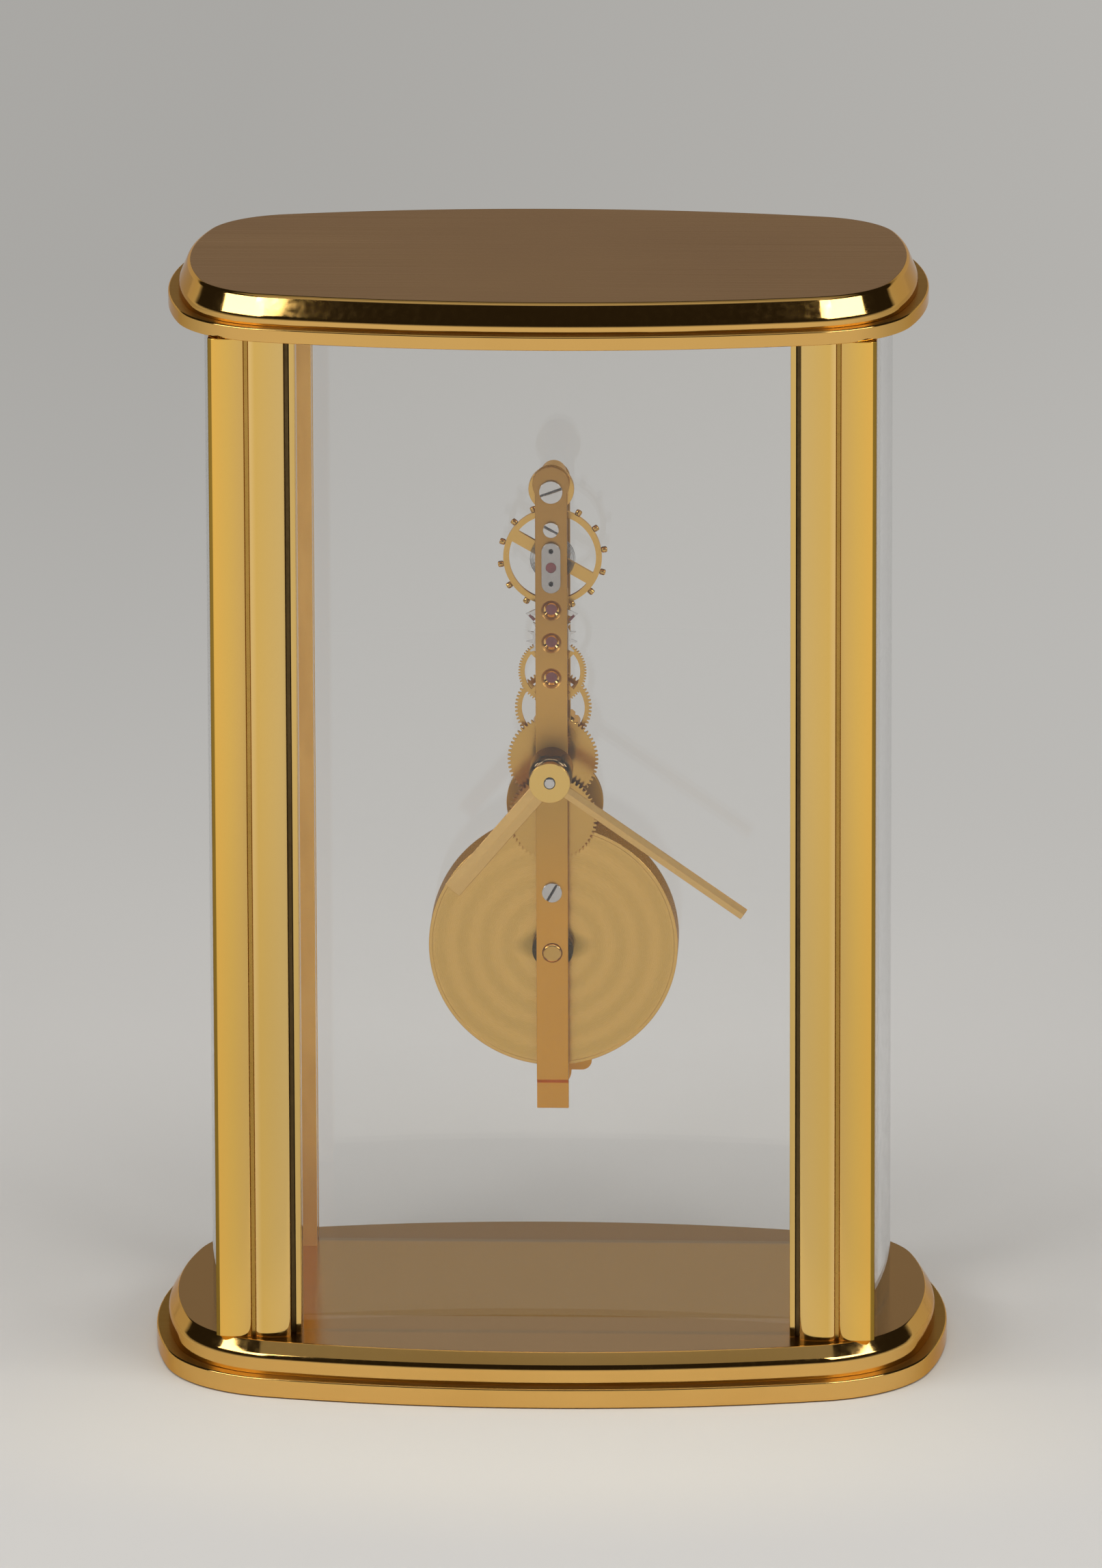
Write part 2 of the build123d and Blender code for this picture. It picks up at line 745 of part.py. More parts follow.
with BuildPart() as mainspring:
    with BuildSketch(facing(barrel_z, drum_back - drum_wall - mainspring_play)):
        Circle(drum_radius - drum_wall)
        Circle(mainspring_inner, mode=Mode.SUBTRACT)
    extrude(amount=drum_depth - drum_wall - cover_thickness - 2 * mainspring_play)
save(mainspring, "mainspring")

with BuildPart() as barrel_arbor:
    core_front = drum_front + cover_thickness + mainspring_play
    core_back = drum_back - drum_wall - mainspring_play
    add_turned(barrel_z, (barrel_arbor_radius, bar_front - arbor_button, knob_front + winding_knob_depth / 2),
               (barrel_core_radius, core_front, core_back),
               (arbor_collar_radius, bar_back + end_shake, drum_front - end_shake))
save(barrel_arbor, "barrel_arbor")

with BuildPart() as ratchet_wheel:
    saw = []
    for tooth in range(ratchet_teeth):
        for radius, share in ((ratchet_radius, 0.0), (ratchet_radius - ratchet_tooth, 0.08)):
            angle = pi / 2 + 2 * pi * (tooth + share) / ratchet_teeth
            saw.append((radius * cos(angle), radius * sin(angle)))
    add_toothed(barrel_z, ratchet_front, ratchet_thickness, saw)
    bore(barrel_z, barrel_arbor_radius, ratchet_front, ratchet_back)
save(ratchet_wheel, "ratchet_wheel")


def save_knob(height, radius, depth, shaft, name):
    """A fluted knob behind the rear glass, on the end of a shaft."""
    with BuildPart() as knob:
        add_turned(height, (radius, knob_front, knob_front + depth))
        chamfer(knob.edges().filter_by(GeomType.CIRCLE), knob_chamfer)
        with BuildSketch(facing(height, knob_front + depth)):
            with PolarLocations(radius + flute_radius / 3, knob_flutes):
                RegularPolygon(flute_radius, 4)
        extrude(amount=depth, mode=Mode.SUBTRACT)
        bore(height, shaft, knob_front, knob_front + depth / 2)
    save(knob, name)


save_knob(barrel_z, winding_knob_radius, winding_knob_depth, barrel_arbor_radius, "winding_knob")
save_knob(centre_z, setting_knob_radius, setting_knob_depth, centre_arbor_radius, "setting_knob")

with BuildPart() as click:
    tip_rise = ratchet_radius + click_tip_gap - (click_z - barrel_z)
    with BuildSketch(facing(click_z, ratchet_back)):
        Circle(click_radius)
        with BuildLine():
            Polyline((-click_radius * 0.8, 0), (-click_lean - click_width / 2, tip_rise + 0.4),
                     (-click_lean + click_width / 2, tip_rise), (click_radius * 0.8, 0), close=True)
        make_face()
        Circle(screw_radius + running_play, mode=Mode.SUBTRACT)
    extrude(amount=ratchet_thickness)
save(click, "click")

with BuildPart() as click_screw:
    add_screw(click_z, ratchet_back + running_play, click_radius, screw_head, screw_radius,
              ratchet_thickness + running_play + ratchet_gap + rear_bar_thickness, 10, towards=1)
save(click_screw, "click_screw")


# Train: each arbor with its pinion and pivots, each wheel by itself
def add_arbor(height, radius):
    """A plain arbor between the bars, with a pivot in each of them."""
    add_turned(height, (radius, bar_back + end_shake, rear_bar_front - end_shake),
               (pivot_radius, bar_back - bar_thickness / 2, rear_bar_back - end_shake))


with BuildPart() as intermediate_arbor:
    add_arbor(intermediate_z, intermediate_arbor_radius)
    add_toothed(intermediate_z, ring_front + end_shake, ring_depth, pinion_points(intermediate_leaves, barrel_module))
save(intermediate_arbor, "intermediate_arbor")

with BuildPart() as intermediate_wheel:
    add_wheel(intermediate_z, intermediate_wheel_y, wheel_points(intermediate_teeth, intermediate_module),
              intermediate_arbor_radius)
save(intermediate_wheel, "intermediate_wheel")

with BuildPart() as centre_pinion:
    add_turned(centre_z, (centre_sleeve_radius, centre_pinion_y, sleeve_back))
    add_toothed(centre_z, centre_pinion_y, centre_pinion_length, pinion_points(centre_leaves, intermediate_module))
    bore(centre_z, centre_arbor_radius + running_play, centre_pinion_y, sleeve_back)
save(centre_pinion, "centre_pinion")

with BuildPart() as centre_wheel:
    add_wheel(centre_z, centre_wheel_y, wheel_points(centre_teeth, centre_module), centre_sleeve_radius)
save(centre_wheel, "centre_wheel")

with BuildPart() as third_arbor:
    add_arbor(third_z, train_arbor_radius)
    add_toothed(third_z, third_pinion_y, pinion_length, pinion_points(third_leaves, centre_module))
save(third_arbor, "third_arbor")

with BuildPart() as third_wheel:
    add_wheel(third_z, third_wheel_y, wheel_points(third_teeth, third_module), train_arbor_radius,
              root_radius(third_teeth, third_module) - rim_width)
save(third_wheel, "third_wheel")

with BuildPart() as fourth_arbor:
    add_arbor(fourth_z, train_arbor_radius)
    add_toothed(fourth_z, fourth_pinion_y, pinion_length, pinion_points(fourth_leaves, third_module))
save(fourth_arbor, "fourth_arbor")

with BuildPart() as fourth_wheel:
    add_wheel(fourth_z, fourth_wheel_y, wheel_points(fourth_teeth, fourth_module), train_arbor_radius,
              root_radius(fourth_teeth, fourth_module) - rim_width)
save(fourth_wheel, "fourth_wheel")

with BuildPart() as escape_arbor:
    add_arbor(escape_z, escape_arbor_radius)
    add_toothed(escape_z, escape_pinion_y, escape_pinion_length, pinion_points(escape_leaves, fourth_module))
save(escape_arbor, "escape_arbor")

with BuildPart() as escape_wheel:
    lead = radians(90 - stone_angle) - escape_lead * 2 * pi / escape_teeth
    club = []
    for tooth in range(escape_teeth):
        for radius, share in ((escape_root, -0.1), (escape_radius, 0.0), (escape_radius, 0.06), (escape_root, 0.3)):
            angle = lead + 2 * pi * (tooth + share) / escape_teeth
            club.append((radius * cos(angle), radius * sin(angle)))
    add_wheel(escape_z, escape_wheel_y, club, escape_arbor_radius, escape_root - rim_width)
save(escape_wheel, "escape_wheel")

# Escapement: lever with its mouth, two stones on the escape circle, and the arbor
with BuildPart() as pallet_fork:
    arm_reach = escape_radius + stone_gap + stone_length
    stone_middle = escape_radius + stone_gap + stone_length / 2
    arm_side = arm_reach * sin(radians(stone_angle))
    arm_rise = arm_reach * cos(radians(stone_angle)) - (pallet_z - escape_z)
    with BuildSketch(facing(pallet_z, fork_y + fork_thickness)):
        Circle(fork_width)
        with Locations((0, fork_reach / 2)):
            Rectangle(fork_width, fork_reach)
        with Locations((0, fork_reach)):
            Rectangle(fork_mouth + 2 * fork_horn, fork_mouth * 1.4)
        with Locations((0, fork_reach + fork_mouth * 0.4)):
            Rectangle(fork_mouth, fork_mouth, mode=Mode.SUBTRACT)
        for hand in (-1, 1):
            with BuildLine():
                Polyline((0, fork_width), (hand * (arm_side + 0.7), arm_rise + 0.2),
                         (hand * arm_side, arm_rise - 0.3), (0, -fork_width), close=True)
            make_face()
        Circle(escape_arbor_radius, mode=Mode.SUBTRACT)
    extrude(amount=fork_thickness)
    with BuildSketch(facing(escape_z, fork_y + fork_thickness)):
        with PolarLocations(stone_middle, 2, 90 - stone_angle, 2 * stone_angle, endpoint=True):
            Rectangle(stone_length, stone_width)
    extrude(amount=fork_thickness, mode=Mode.SUBTRACT)
save(pallet_fork, "pallet_fork")

with BuildPart() as pallet_stones:
    with BuildSketch(facing(escape_z, fork_y + fork_thickness)):
        with PolarLocations(stone_middle, 2, 90 - stone_angle, 2 * stone_angle, endpoint=True):
            Rectangle(stone_length, stone_width)
    extrude(amount=fork_thickness)
save(pallet_stones, "pallet_stones")

with BuildPart() as pallet_arbor:
    add_turned(pallet_z, (escape_arbor_radius, bar_back + end_shake, pallet_cock_y - end_shake),
               (pivot_radius, bar_back - bar_thickness / 2, cock_back - running_play))
save(pallet_arbor, "pallet_arbor")

# Balance: rim with two arms, timing screws, staff with roller, hairspring and stud
with BuildPart() as balance_wheel:
    with BuildSketch(facing(balance_z, balance_wheel_y + balance_depth)):
        Circle(balance_rim_radius)
        Circle(balance_rim_radius - balance_rim_width, mode=Mode.SUBTRACT)
        Circle(balance_hub_radius)
        Rectangle(2 * balance_rim_radius - balance_rim_width, balance_arm_width, rotation=balance_arm_angle)
        Circle(balance_staff_radius, mode=Mode.SUBTRACT)
    extrude(amount=balance_depth)
save(balance_wheel, "balance_wheel")

with BuildPart() as balance_screws:
    for screw in range(timing_screws):
        angle = radians(balance_arm_angle) + 2 * pi * (screw + 0.5) / timing_screws
        out = (cos(angle), 0, sin(angle))
        middle = balance_wheel_y + balance_depth / 2
        foot = (balance_rim_radius * out[0], middle, balance_z + balance_rim_radius * out[2])
        with BuildSketch(Plane(origin=foot, z_dir=out)):
            RegularPolygon(timing_screw_radius, 8)
        extrude(amount=timing_screw_length)
save(balance_screws, "balance_screws")

with BuildPart() as balance_staff:
    add_turned(balance_z, (balance_staff_radius, bar_back + end_shake, rear_bar_front - end_shake),
               (pivot_radius, bar_front + end_shake, rear_bar_back - end_shake),
               (roller_radius, roller_y, roller_y + roller_thickness))
    with BuildSketch(facing(balance_z, roller_y)):
        with Locations((0, -impulse_pin_throw)):
            Circle(impulse_pin_radius)
    extrude(amount=impulse_pin_length)
save(balance_staff, "balance_staff")


def spiral_arcs():
    """The hairspring's half turns: centre height, radius and start angle of each."""
    shift = hairspring_pitch / 2
    return [((turn % 2) * shift, hairspring_inner + turn * shift, 90 + 180 * turn)
            for turn in range(2 * hairspring_turns)]


with BuildPart() as hairspring:
    with BuildLine(facing(balance_z, hairspring_y + hairspring_height / 2)) as winding:
        for rise, radius, start in spiral_arcs():
            CenterArc((0, rise), radius, start, 180)
    with BuildSketch(Plane(origin=winding.wire() @ 0, x_dir=(0, 1, 0), z_dir=winding.wire() % 0)):
        Rectangle(hairspring_height, hairspring_thickness)
    sweep()
save(hairspring, "hairspring")

spiral = []
for rise, radius, start in spiral_arcs():
    for step in range(60):
        angle = radians(start + 3 * step)
        spiral.append((radius * cos(angle), rise + radius * sin(angle)))
least = min(hypot(spiral[i][0] - spiral[j][0], spiral[i][1] - spiral[j][1])
            for i in range(len(spiral)) for j in range(i + 60, len(spiral)))
print("least gap of the hairspring to itself", round(least - hairspring_thickness, 3))

with BuildPart() as hairspring_stud:
    with BuildSketch(facing(balance_z + stud_rise, hairspring_y + hairspring_height)):
        with Locations((-stud_radius, 0)):
            Circle(stud_radius)
    extrude(amount=hairspring_y + hairspring_height - bar_back + bar_thickness / 2)
save(hairspring_stud, "hairspring_stud")

# Motion work and hands
with BuildPart() as centre_collar:
    add_turned(centre_z, (collar_radius, collar_front, bar_front))
    bore(centre_z, hour_pipe_radius + running_play, collar_front, bar_front)
save(centre_collar, "centre_collar")

with BuildPart() as centre_arbor:
    add_turned(centre_z, (centre_arbor_radius, hub_front, knob_front + setting_knob_depth / 2),
               (hub_pin_radius, hub_front - hub_pin_height, hub_front),
               (centre_shoulder_radius, sleeve_back + end_shake, rear_bar_front - end_shake))
save(centre_arbor, "centre_arbor")

with BuildPart() as cannon_pinion:
    add_turned(centre_z, (cannon_pipe_radius, minute_hand_y, minute_wheel_y))
    add_toothed(centre_z, minute_wheel_y, wheel_thickness, pinion_points(cannon_leaves, cannon_module, 90))
    bore(centre_z, centre_arbor_radius, minute_hand_y, minute_wheel_y + wheel_thickness)
save(cannon_pinion, "cannon_pinion")

with BuildPart() as hour_wheel:
    add_turned(centre_z, (hour_pipe_radius, hour_hand_y, hour_wheel_y))
    add_toothed(centre_z, hour_wheel_y, wheel_thickness, wheel_points(hour_wheel_teeth, hour_module))
    bore(centre_z, cannon_pipe_radius + running_play, hour_hand_y, hour_wheel_y + wheel_thickness)
save(hour_wheel, "hour_wheel")

with BuildPart() as minute_wheel:
    add_toothed(motion_z, minute_wheel_y, wheel_thickness,
                wheel_points(minute_wheel_teeth, cannon_module, 270 + 180 / minute_wheel_teeth))
    add_toothed(motion_z, hour_wheel_y, minute_wheel_y - hour_wheel_y, pinion_points(minute_leaves, hour_module))
    bore(motion_z, pivot_radius + running_play, hour_wheel_y, minute_wheel_y + wheel_thickness)
save(minute_wheel, "minute_wheel")


def add_blade(angle, back, length, width, edge):
    """A hand's blade with a ridge: its section runs from the axis out to the blunt end."""
    along = (sin(radians(angle)), 0, cos(radians(angle)))
    with BuildSketch(Plane(origin=(0, back, centre_z), x_dir=(0, -1, 0), z_dir=along)) as blade:
        with BuildLine():
            Polyline((0, -width / 2), (edge, -width / 2), (hand_thickness, 0), (edge, width / 2), (0, width / 2),
                     close=True)
        make_face()
    extrude(blade.sketch, amount=length)


with BuildPart() as hour_hand:
    add_blade(hour_angle, hour_hand_y + hand_thickness, hour_hand_length, hour_hand_width, hand_thickness - hand_edge)
    add_turned(centre_z, (hand_boss_radius, hour_hand_y, hour_hand_y + hand_thickness))
    bore(centre_z, hour_pipe_radius, hour_hand_y, hour_hand_y + hand_thickness)
save(hour_hand, "hour_hand")

with BuildPart() as minute_hand:
    add_blade(minute_angle, minute_hand_y + hand_thickness, minute_hand_length, minute_hand_width, hand_edge)
    add_turned(centre_z, (hand_boss_radius, minute_hand_y, minute_hand_y + hand_thickness))
    bore(centre_z, cannon_pipe_radius, minute_hand_y, minute_hand_y + hand_thickness)
save(minute_hand, "minute_hand")

with BuildPart() as hand_hub:
    add_turned(centre_z, (hub_radius, hub_front, hub_back), (hub_neck_radius, hub_back, minute_hand_y))
    bore(centre_z, centre_arbor_radius, hub_front, minute_hand_y)
save(hand_hub, "hand_hub")
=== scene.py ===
# %% [markdown]
# # A mystery clock in gilt brass and glass
# The clock is a glazed case: two stepped plates held apart by reeded pillars, with an open in-line
# movement between the panes. The solids come from the CAD model, in metres, and this lesson gives
# them their finish: softened edges, polished and brushed gilt, clear glass, steel and ruby.

# %% Load the frame
import json
import math

import bmesh
import bpy
from mathutils import Matrix, Vector


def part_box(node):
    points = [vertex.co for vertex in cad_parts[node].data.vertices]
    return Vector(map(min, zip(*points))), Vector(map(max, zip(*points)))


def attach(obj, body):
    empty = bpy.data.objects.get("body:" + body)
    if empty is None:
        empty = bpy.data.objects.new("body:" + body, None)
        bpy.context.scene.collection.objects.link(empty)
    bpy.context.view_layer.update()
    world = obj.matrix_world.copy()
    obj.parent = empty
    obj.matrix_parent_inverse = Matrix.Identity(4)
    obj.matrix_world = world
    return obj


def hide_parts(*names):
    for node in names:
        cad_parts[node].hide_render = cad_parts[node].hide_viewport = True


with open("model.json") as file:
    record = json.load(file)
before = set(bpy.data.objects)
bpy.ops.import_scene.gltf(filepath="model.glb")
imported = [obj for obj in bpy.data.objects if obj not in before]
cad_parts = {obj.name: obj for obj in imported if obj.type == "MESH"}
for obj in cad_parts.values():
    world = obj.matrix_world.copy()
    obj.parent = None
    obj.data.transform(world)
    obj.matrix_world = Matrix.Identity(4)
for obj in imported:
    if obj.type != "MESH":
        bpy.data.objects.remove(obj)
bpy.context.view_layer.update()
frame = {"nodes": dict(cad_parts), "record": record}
scene = bpy.context.scene
record = frame["record"]
body_of = {n: body for body, nodes in record["behaviour"]["bodies"].items() for n in nodes}
slot_of = {part["node"]: part["material_slot"] for part in record["subparts"]}
barrel_z, centre_z, balance_z = 0.0728, 0.109, 0.1481

# %% [markdown]
# ## Working in edit mode from a script
# Operators act on whatever is selected, and the loaded solids start selected. So every step first
# clears the selection, then makes one object active. Faces and edges could be chosen by number, but
# numbers change with every edit. Choosing them by their place or direction keeps working.

# %% Selecting
def only(piece):
    if bpy.context.object and bpy.context.object.mode != "OBJECT":
        bpy.ops.object.mode_set(mode="OBJECT")
    bpy.ops.object.select_all(action="DESELECT")
    bpy.context.view_layer.objects.active = piece
    piece.select_set(True)


def pick(piece, kind, test):
    """Selects the faces or edges in edit mode that pass a test on their place."""
    bpy.ops.mesh.select_all(action="DESELECT")
    bpy.ops.mesh.select_mode(type=kind)
    mesh = bmesh.from_edit_mesh(piece.data)
    for part in mesh.faces if kind == "FACE" else mesh.edges:
        if test(part):
            part.select_set(True)
    mesh.select_flush_mode()
    bmesh.update_edit_mesh(piece.data)


# %% [markdown]
# ## Dressing a solid
# On the real clock no edge is knife-sharp, because the polisher's buff rounds it. A copied solid is a
# cloud of loose triangles. Merging the doubles and dissolving flat neighbours gives whole faces, and
# then a bevel can round the edges. The rounded edge would pull the shading of the large faces beside
# it, so weighted normals keep those faces flat to the eye.

# %% Dressing
weld_distance, flat_angle, edge_segments = 2e-6, math.radians(0.2), 3


def settle(piece, node):
    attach(piece, body_of[node])
    return piece


def smooth(piece, turn):
    """Smooth shading up to an angle, weighted by the size of the faces."""
    bpy.ops.object.shade_smooth_by_angle(angle=math.radians(turn))
    even = piece.modifiers.new("even", "WEIGHTED_NORMAL")
    even.keep_sharp, even.weight = True, 100
    bpy.ops.object.modifier_apply(modifier="even")


def dressed(node, edge=0.0, turn=30.0, shape=None):
    """Copies a solid, joins its triangles into whole faces, reshapes it if asked and rounds its edges."""
    piece = bpy.data.objects.new(node + "_dressed", frame["nodes"][node].data.copy())
    scene.collection.objects.link(piece)
    only(piece)
    bpy.ops.mesh.customdata_custom_splitnormals_clear()
    bpy.ops.object.mode_set(mode="EDIT")
    bpy.ops.mesh.select_all(action="SELECT")
    bpy.ops.mesh.remove_doubles(threshold=weld_distance)
    bpy.ops.mesh.dissolve_limited(angle_limit=flat_angle)
    if shape:
        shape(piece)
    bpy.ops.object.mode_set(mode="OBJECT")
    if edge:
        bevel = piece.modifiers.new("edge", "BEVEL")
        bevel.width, bevel.segments, bevel.limit_method = edge, edge_segments, "ANGLE"
        bevel.angle_limit = math.radians(turn)
        bevel.use_clamp_overlap = False
        bpy.ops.object.modifier_apply(modifier="edge")
    smooth(piece, turn)
    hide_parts(node)
    return settle(piece, node)


# %% [markdown]
# ## Building finishes from nodes
# A finish is a colour, a gloss and the marks of the tool that made it. A painted picture would need a
# map for every piece. Noise and waves on Object coordinates fit each piece as it lies, so every
# finish here is a Principled shader fed by them. These helpers add a node and hand back its output.

# %% Nodes
def new_finish(name):
    finish = bpy.data.materials.new(name)
    finish.use_nodes = True
    return finish, finish.node_tree, finish.node_tree.nodes["Principled BSDF"]


def add_node(tree, kind, inputs=None, **settings):
    made = tree.nodes.new(kind)
    for key, value in settings.items():
        setattr(made, key, value)
    for key, value in (inputs or {}).items():
        if isinstance(value, bpy.types.NodeSocket):
            tree.links.new(value, made.inputs[key])
        else:
            made.inputs[key].default_value = value
    return made


def reckon(tree, operation, *values):
    return add_node(tree, "ShaderNodeMath", dict(enumerate(values)), operation=operation).outputs[0]


def rescale(tree, value, start, end, low=0.0, high=1.0, curve="LINEAR"):
    """Goes from low to high while a value goes from start to end."""
    return add_node(tree, "ShaderNodeMapRange", {"Value": value, "From Min": start, "From Max": end,
                                                 "To Min": low, "To Max": high},
                    interpolation_type=curve).outputs["Result"]


# %% Places on a piece
def object_place(tree, shift=(0, 0, 0), stretch=(1, 1, 1)):
    place = add_node(tree, "ShaderNodeTexCoord").outputs["Object"]
    return add_node(tree, "ShaderNodeMapping",
                    {"Vector": place, "Location": shift, "Scale": stretch}).outputs["Vector"]


def place_along(tree, axis):
    return add_node(tree, "ShaderNodeSeparateXYZ", {"Vector": object_place(tree)}).outputs[axis]


def distance_from(tree, shift=(0, 0, 0), stretch=(1, 1, 1)):
    return add_node(tree, "ShaderNodeVectorMath", {0: object_place(tree, shift, stretch)},
                    operation="LENGTH").outputs["Value"]


# %% Patterns and colours
def grain(tree, scale, detail=3.0, stretch=(1, 1, 1)):
    """Noise on Object coordinates, stretched along the way the surface was worked."""
    return add_node(tree, "ShaderNodeTexNoise", {"Vector": object_place(tree, stretch=stretch),
                                                 "Scale": scale, "Detail": detail}).outputs["Fac"]


def even_grain(scale, detail=2.0, stretch=(1, 1, 1)):
    return lambda tree: grain(tree, scale, detail, stretch)


def rings(tree, height, pitch):
    """Fine lathe rings about an arbor that lies along Y at the given height."""
    return add_node(tree, "ShaderNodeTexWave",
                    {"Vector": object_place(tree, shift=(0, 0, -height)),
                     "Scale": 2 * math.pi / (20 * pitch),
                     "Distortion": 2.0, "Detail": 2.0, "Detail Scale": 30.0},
                    wave_type="RINGS", rings_direction="Y").outputs["Fac"]


def ramp_colours(tree, factor, stops):
    """Colours that run into each other between the places given for them."""
    ramp = add_node(tree, "ShaderNodeValToRGB", {"Fac": factor})
    marks = ramp.color_ramp.elements
    while len(marks) < len(stops):
        marks.new(1.0)
    for mark, (place, colour) in zip(marks, stops):
        mark.position, mark.color = place, (*colour, 1)
    return ramp.outputs["Color"]


def blend_colours(tree, factor, first, second, low=0.35, high=0.65):
    return ramp_colours(tree, factor, ((low, first), (high, second)))


def mix_colours(tree, factor, first, second):
    return add_node(tree, "ShaderNodeMix", {"Factor": factor, 6: first, 7: (*second, 1)},
                    data_type="RGBA").outputs[2]


def spread(tree, factor, low, high):
    return rescale(tree, factor, 0.3, 0.7, low, high)


# %% A metal
gilt_edge, plain_edge = (0.86, 0.66, 0.45), (1, 1, 1)


def metal(name, light, dark, gloss, marks, relief=None, drift=None, edge=gilt_edge):
    """A metal whose colour drifts slowly and whose gloss and height follow the tool marks.

    Gloss is a range of roughness, relief is the marks' strength and depth, and edge is the tint
    of the metal where it is seen at a glance.
    """
    finish, tree, shader = new_finish(name)
    shader.inputs["Metallic"].default_value = 1.0
    shader.inputs["Specular Tint"].default_value = (*edge, 1)
    clouds = drift(tree) if drift else grain(tree, 22)
    tree.links.new(blend_colours(tree, clouds, dark, light), shader.inputs["Base Color"])
    height = marks(tree)
    tree.links.new(spread(tree, height, *gloss), shader.inputs["Roughness"])
    if relief:
        strength, depth = relief
        bump = add_node(tree, "ShaderNodeBump", {"Height": height, "Strength": strength, "Distance": depth})
        tree.links.new(bump.outputs["Normal"], shader.inputs["Normal"])
    return finish


# %% [markdown]
# ## The gilding of the case
# The case is gilt brass: mirror-bright on its walls and pillars, satin on the inner sides of the
# pillars, and brushed from side to side on the flat tops. One gold everywhere would look like
# plastic, because grooves and inner sides are duller than the crests that the polisher reaches. The
# grooves, gaps and outer edges of the pillars are also darker, as painted shade. So each kind of
# surface gets its own gold, and the brushed ones get noise that is stretched along X.

# %% Case gilding
fine_grain, side_marks = even_grain(900), even_grain(50, 2.0, (0.15, 130, 130))
satin_relief, brushed_relief = (0.05, 0.00002), (0.035, 0.00003)
gilt_polished = metal("gilt_polished", (0.83, 0.505, 0.155), (0.78, 0.465, 0.135), (0.05, 0.11), fine_grain)
gilt_reeds = metal("gilt_reeds", (0.90, 0.57, 0.145), (0.86, 0.54, 0.135), (0.06, 0.12), fine_grain)
# The next three golds are painted shade, for the pillars' grooves, their outer edges and the gaps beside their
# flanges.
groove_shade_gilt = metal("groove_shade_gilt", (0.56, 0.33, 0.08), (0.48, 0.28, 0.06), (0.2, 0.3), fine_grain)
gilt_shade = metal("gilt_shade", (0.36, 0.22, 0.035), (0.30, 0.18, 0.03), (0.12, 0.2), fine_grain)
gap_shade_gilt = metal("gap_shade_gilt", (0.18, 0.12, 0.05), (0.12, 0.08, 0.03), (0.3, 0.4), fine_grain)
gilt_satin = metal("gilt_satin", (0.98, 0.62, 0.17), (0.90, 0.55, 0.14), (0.34, 0.46), even_grain(2400),
                   satin_relief, drift=even_grain(300, 2.0, (1, 1, 0.25)))
gilt_brushed = metal("gilt_brushed", (0.60, 0.35, 0.12), (0.56, 0.32, 0.11), (0.26, 0.34), side_marks,
                     brushed_relief, edge=(0.66, 0.59, 0.55))
ledge_brushed = metal("ledge_brushed", (0.60, 0.37, 0.11), (0.54, 0.33, 0.09), (0.34, 0.44), side_marks,
                      brushed_relief)
print("case gilding made")

# %% [markdown]
# ## The platform's painted tones
# The platform between the panes is painted paler along its front, as painted light, and painted darker
# outside the panes, at its ends and behind the rear glass, as painted shade. Three separate faces
# would need cuts in the flat top. Mixing three colours by the place on the platform gives the same
# tones on one face.

# %% Platform
paler_until, paler_within = (-0.0207, -0.0195), (0.046, 0.048)
panes_end_behind, panes_end_beside = (0.0288, 0.0298), (0.061, 0.0625)
platform_outside_shade = (0.43, 0.235, 0.094)


def past(tree, behind, beside):
    """Nought up to a depth and a distance from the middle, and one past either of them."""
    further = rescale(tree, place_along(tree, "Y"), *behind)
    away = reckon(tree, "ABSOLUTE", place_along(tree, "X"))
    return reckon(tree, "MAXIMUM", further, rescale(tree, away, *beside))


# The paler front of the platform is painted light.
platform_brushed = metal("platform_brushed", (0.63, 0.375, 0.14), (0.73, 0.49, 0.30), (0.18, 0.20), side_marks,
                         drift=lambda tree: past(tree, paler_until, paler_within), edge=(0.74, 0.66, 0.53))
tree = platform_brushed.node_tree
colour = tree.nodes["Principled BSDF"].inputs["Base Color"]
# Outside the panes the platform is painted darker, as painted shade.
outside = past(tree, panes_end_behind, panes_end_beside)
tree.links.new(mix_colours(tree, outside, colour.links[0].from_socket, platform_outside_shade), colour)
print("platform finish made")

# %% [markdown]
# ## The metals of the movement
# The movement has a finer gilding than the case, satin on its bars and smoother on its wheels, with
# a dark metal at the collar and steel for the screws. The collar's dark metal is a painted reflection,
# and the dark metal on the barrel's arbor behind the bar is painted shade. They share the metal
# helper, and only the colours and the gloss change.

# %% Movement metals
satin_grain = even_grain(5000)
movement_gilt = metal("movement_gilt", (0.68, 0.42, 0.115), (0.62, 0.375, 0.10), (0.14, 0.24), satin_grain,
                      satin_relief)
bar_gilt = metal("bar_gilt", (0.68, 0.38, 0.095), (0.60, 0.345, 0.10), (0.34, 0.42), satin_grain, satin_relief)
# This darker gold on the sides of the bars and the drum is painted shade.
side_shade_gilt = metal("side_shade_gilt", (0.48, 0.275, 0.08), (0.38, 0.21, 0.06), (0.22, 0.34), even_grain(3000),
                  edge=(0.7, 0.45, 0.18))
hub_gilt = metal("hub_gilt", (0.82, 0.555, 0.16), (0.76, 0.50, 0.14), (0.06, 0.12), fine_grain)
hand_gilt = metal("hand_gilt", (0.78, 0.50, 0.18), (0.73, 0.47, 0.165), (0.16, 0.26), fine_grain)
# This dark metal is painted shade, for the arbor in the gap behind the bar.
arbor_gap_shade = metal("arbor_gap_shade", (0.09, 0.06, 0.025), (0.05, 0.035, 0.015), (0.2, 0.3), fine_grain)
# The collar's dark metal is a painted reflection of the dark that it mirrors.
collar_painted_dark = metal("collar_painted_dark", (0.14, 0.10, 0.055), (0.10, 0.07, 0.04), (0.06, 0.10), fine_grain)
print("gilding of the movement made")


# %% Steels
def steel(name, light, dark, gloss):
    return metal(name, light, dark, gloss, fine_grain, edge=plain_edge)


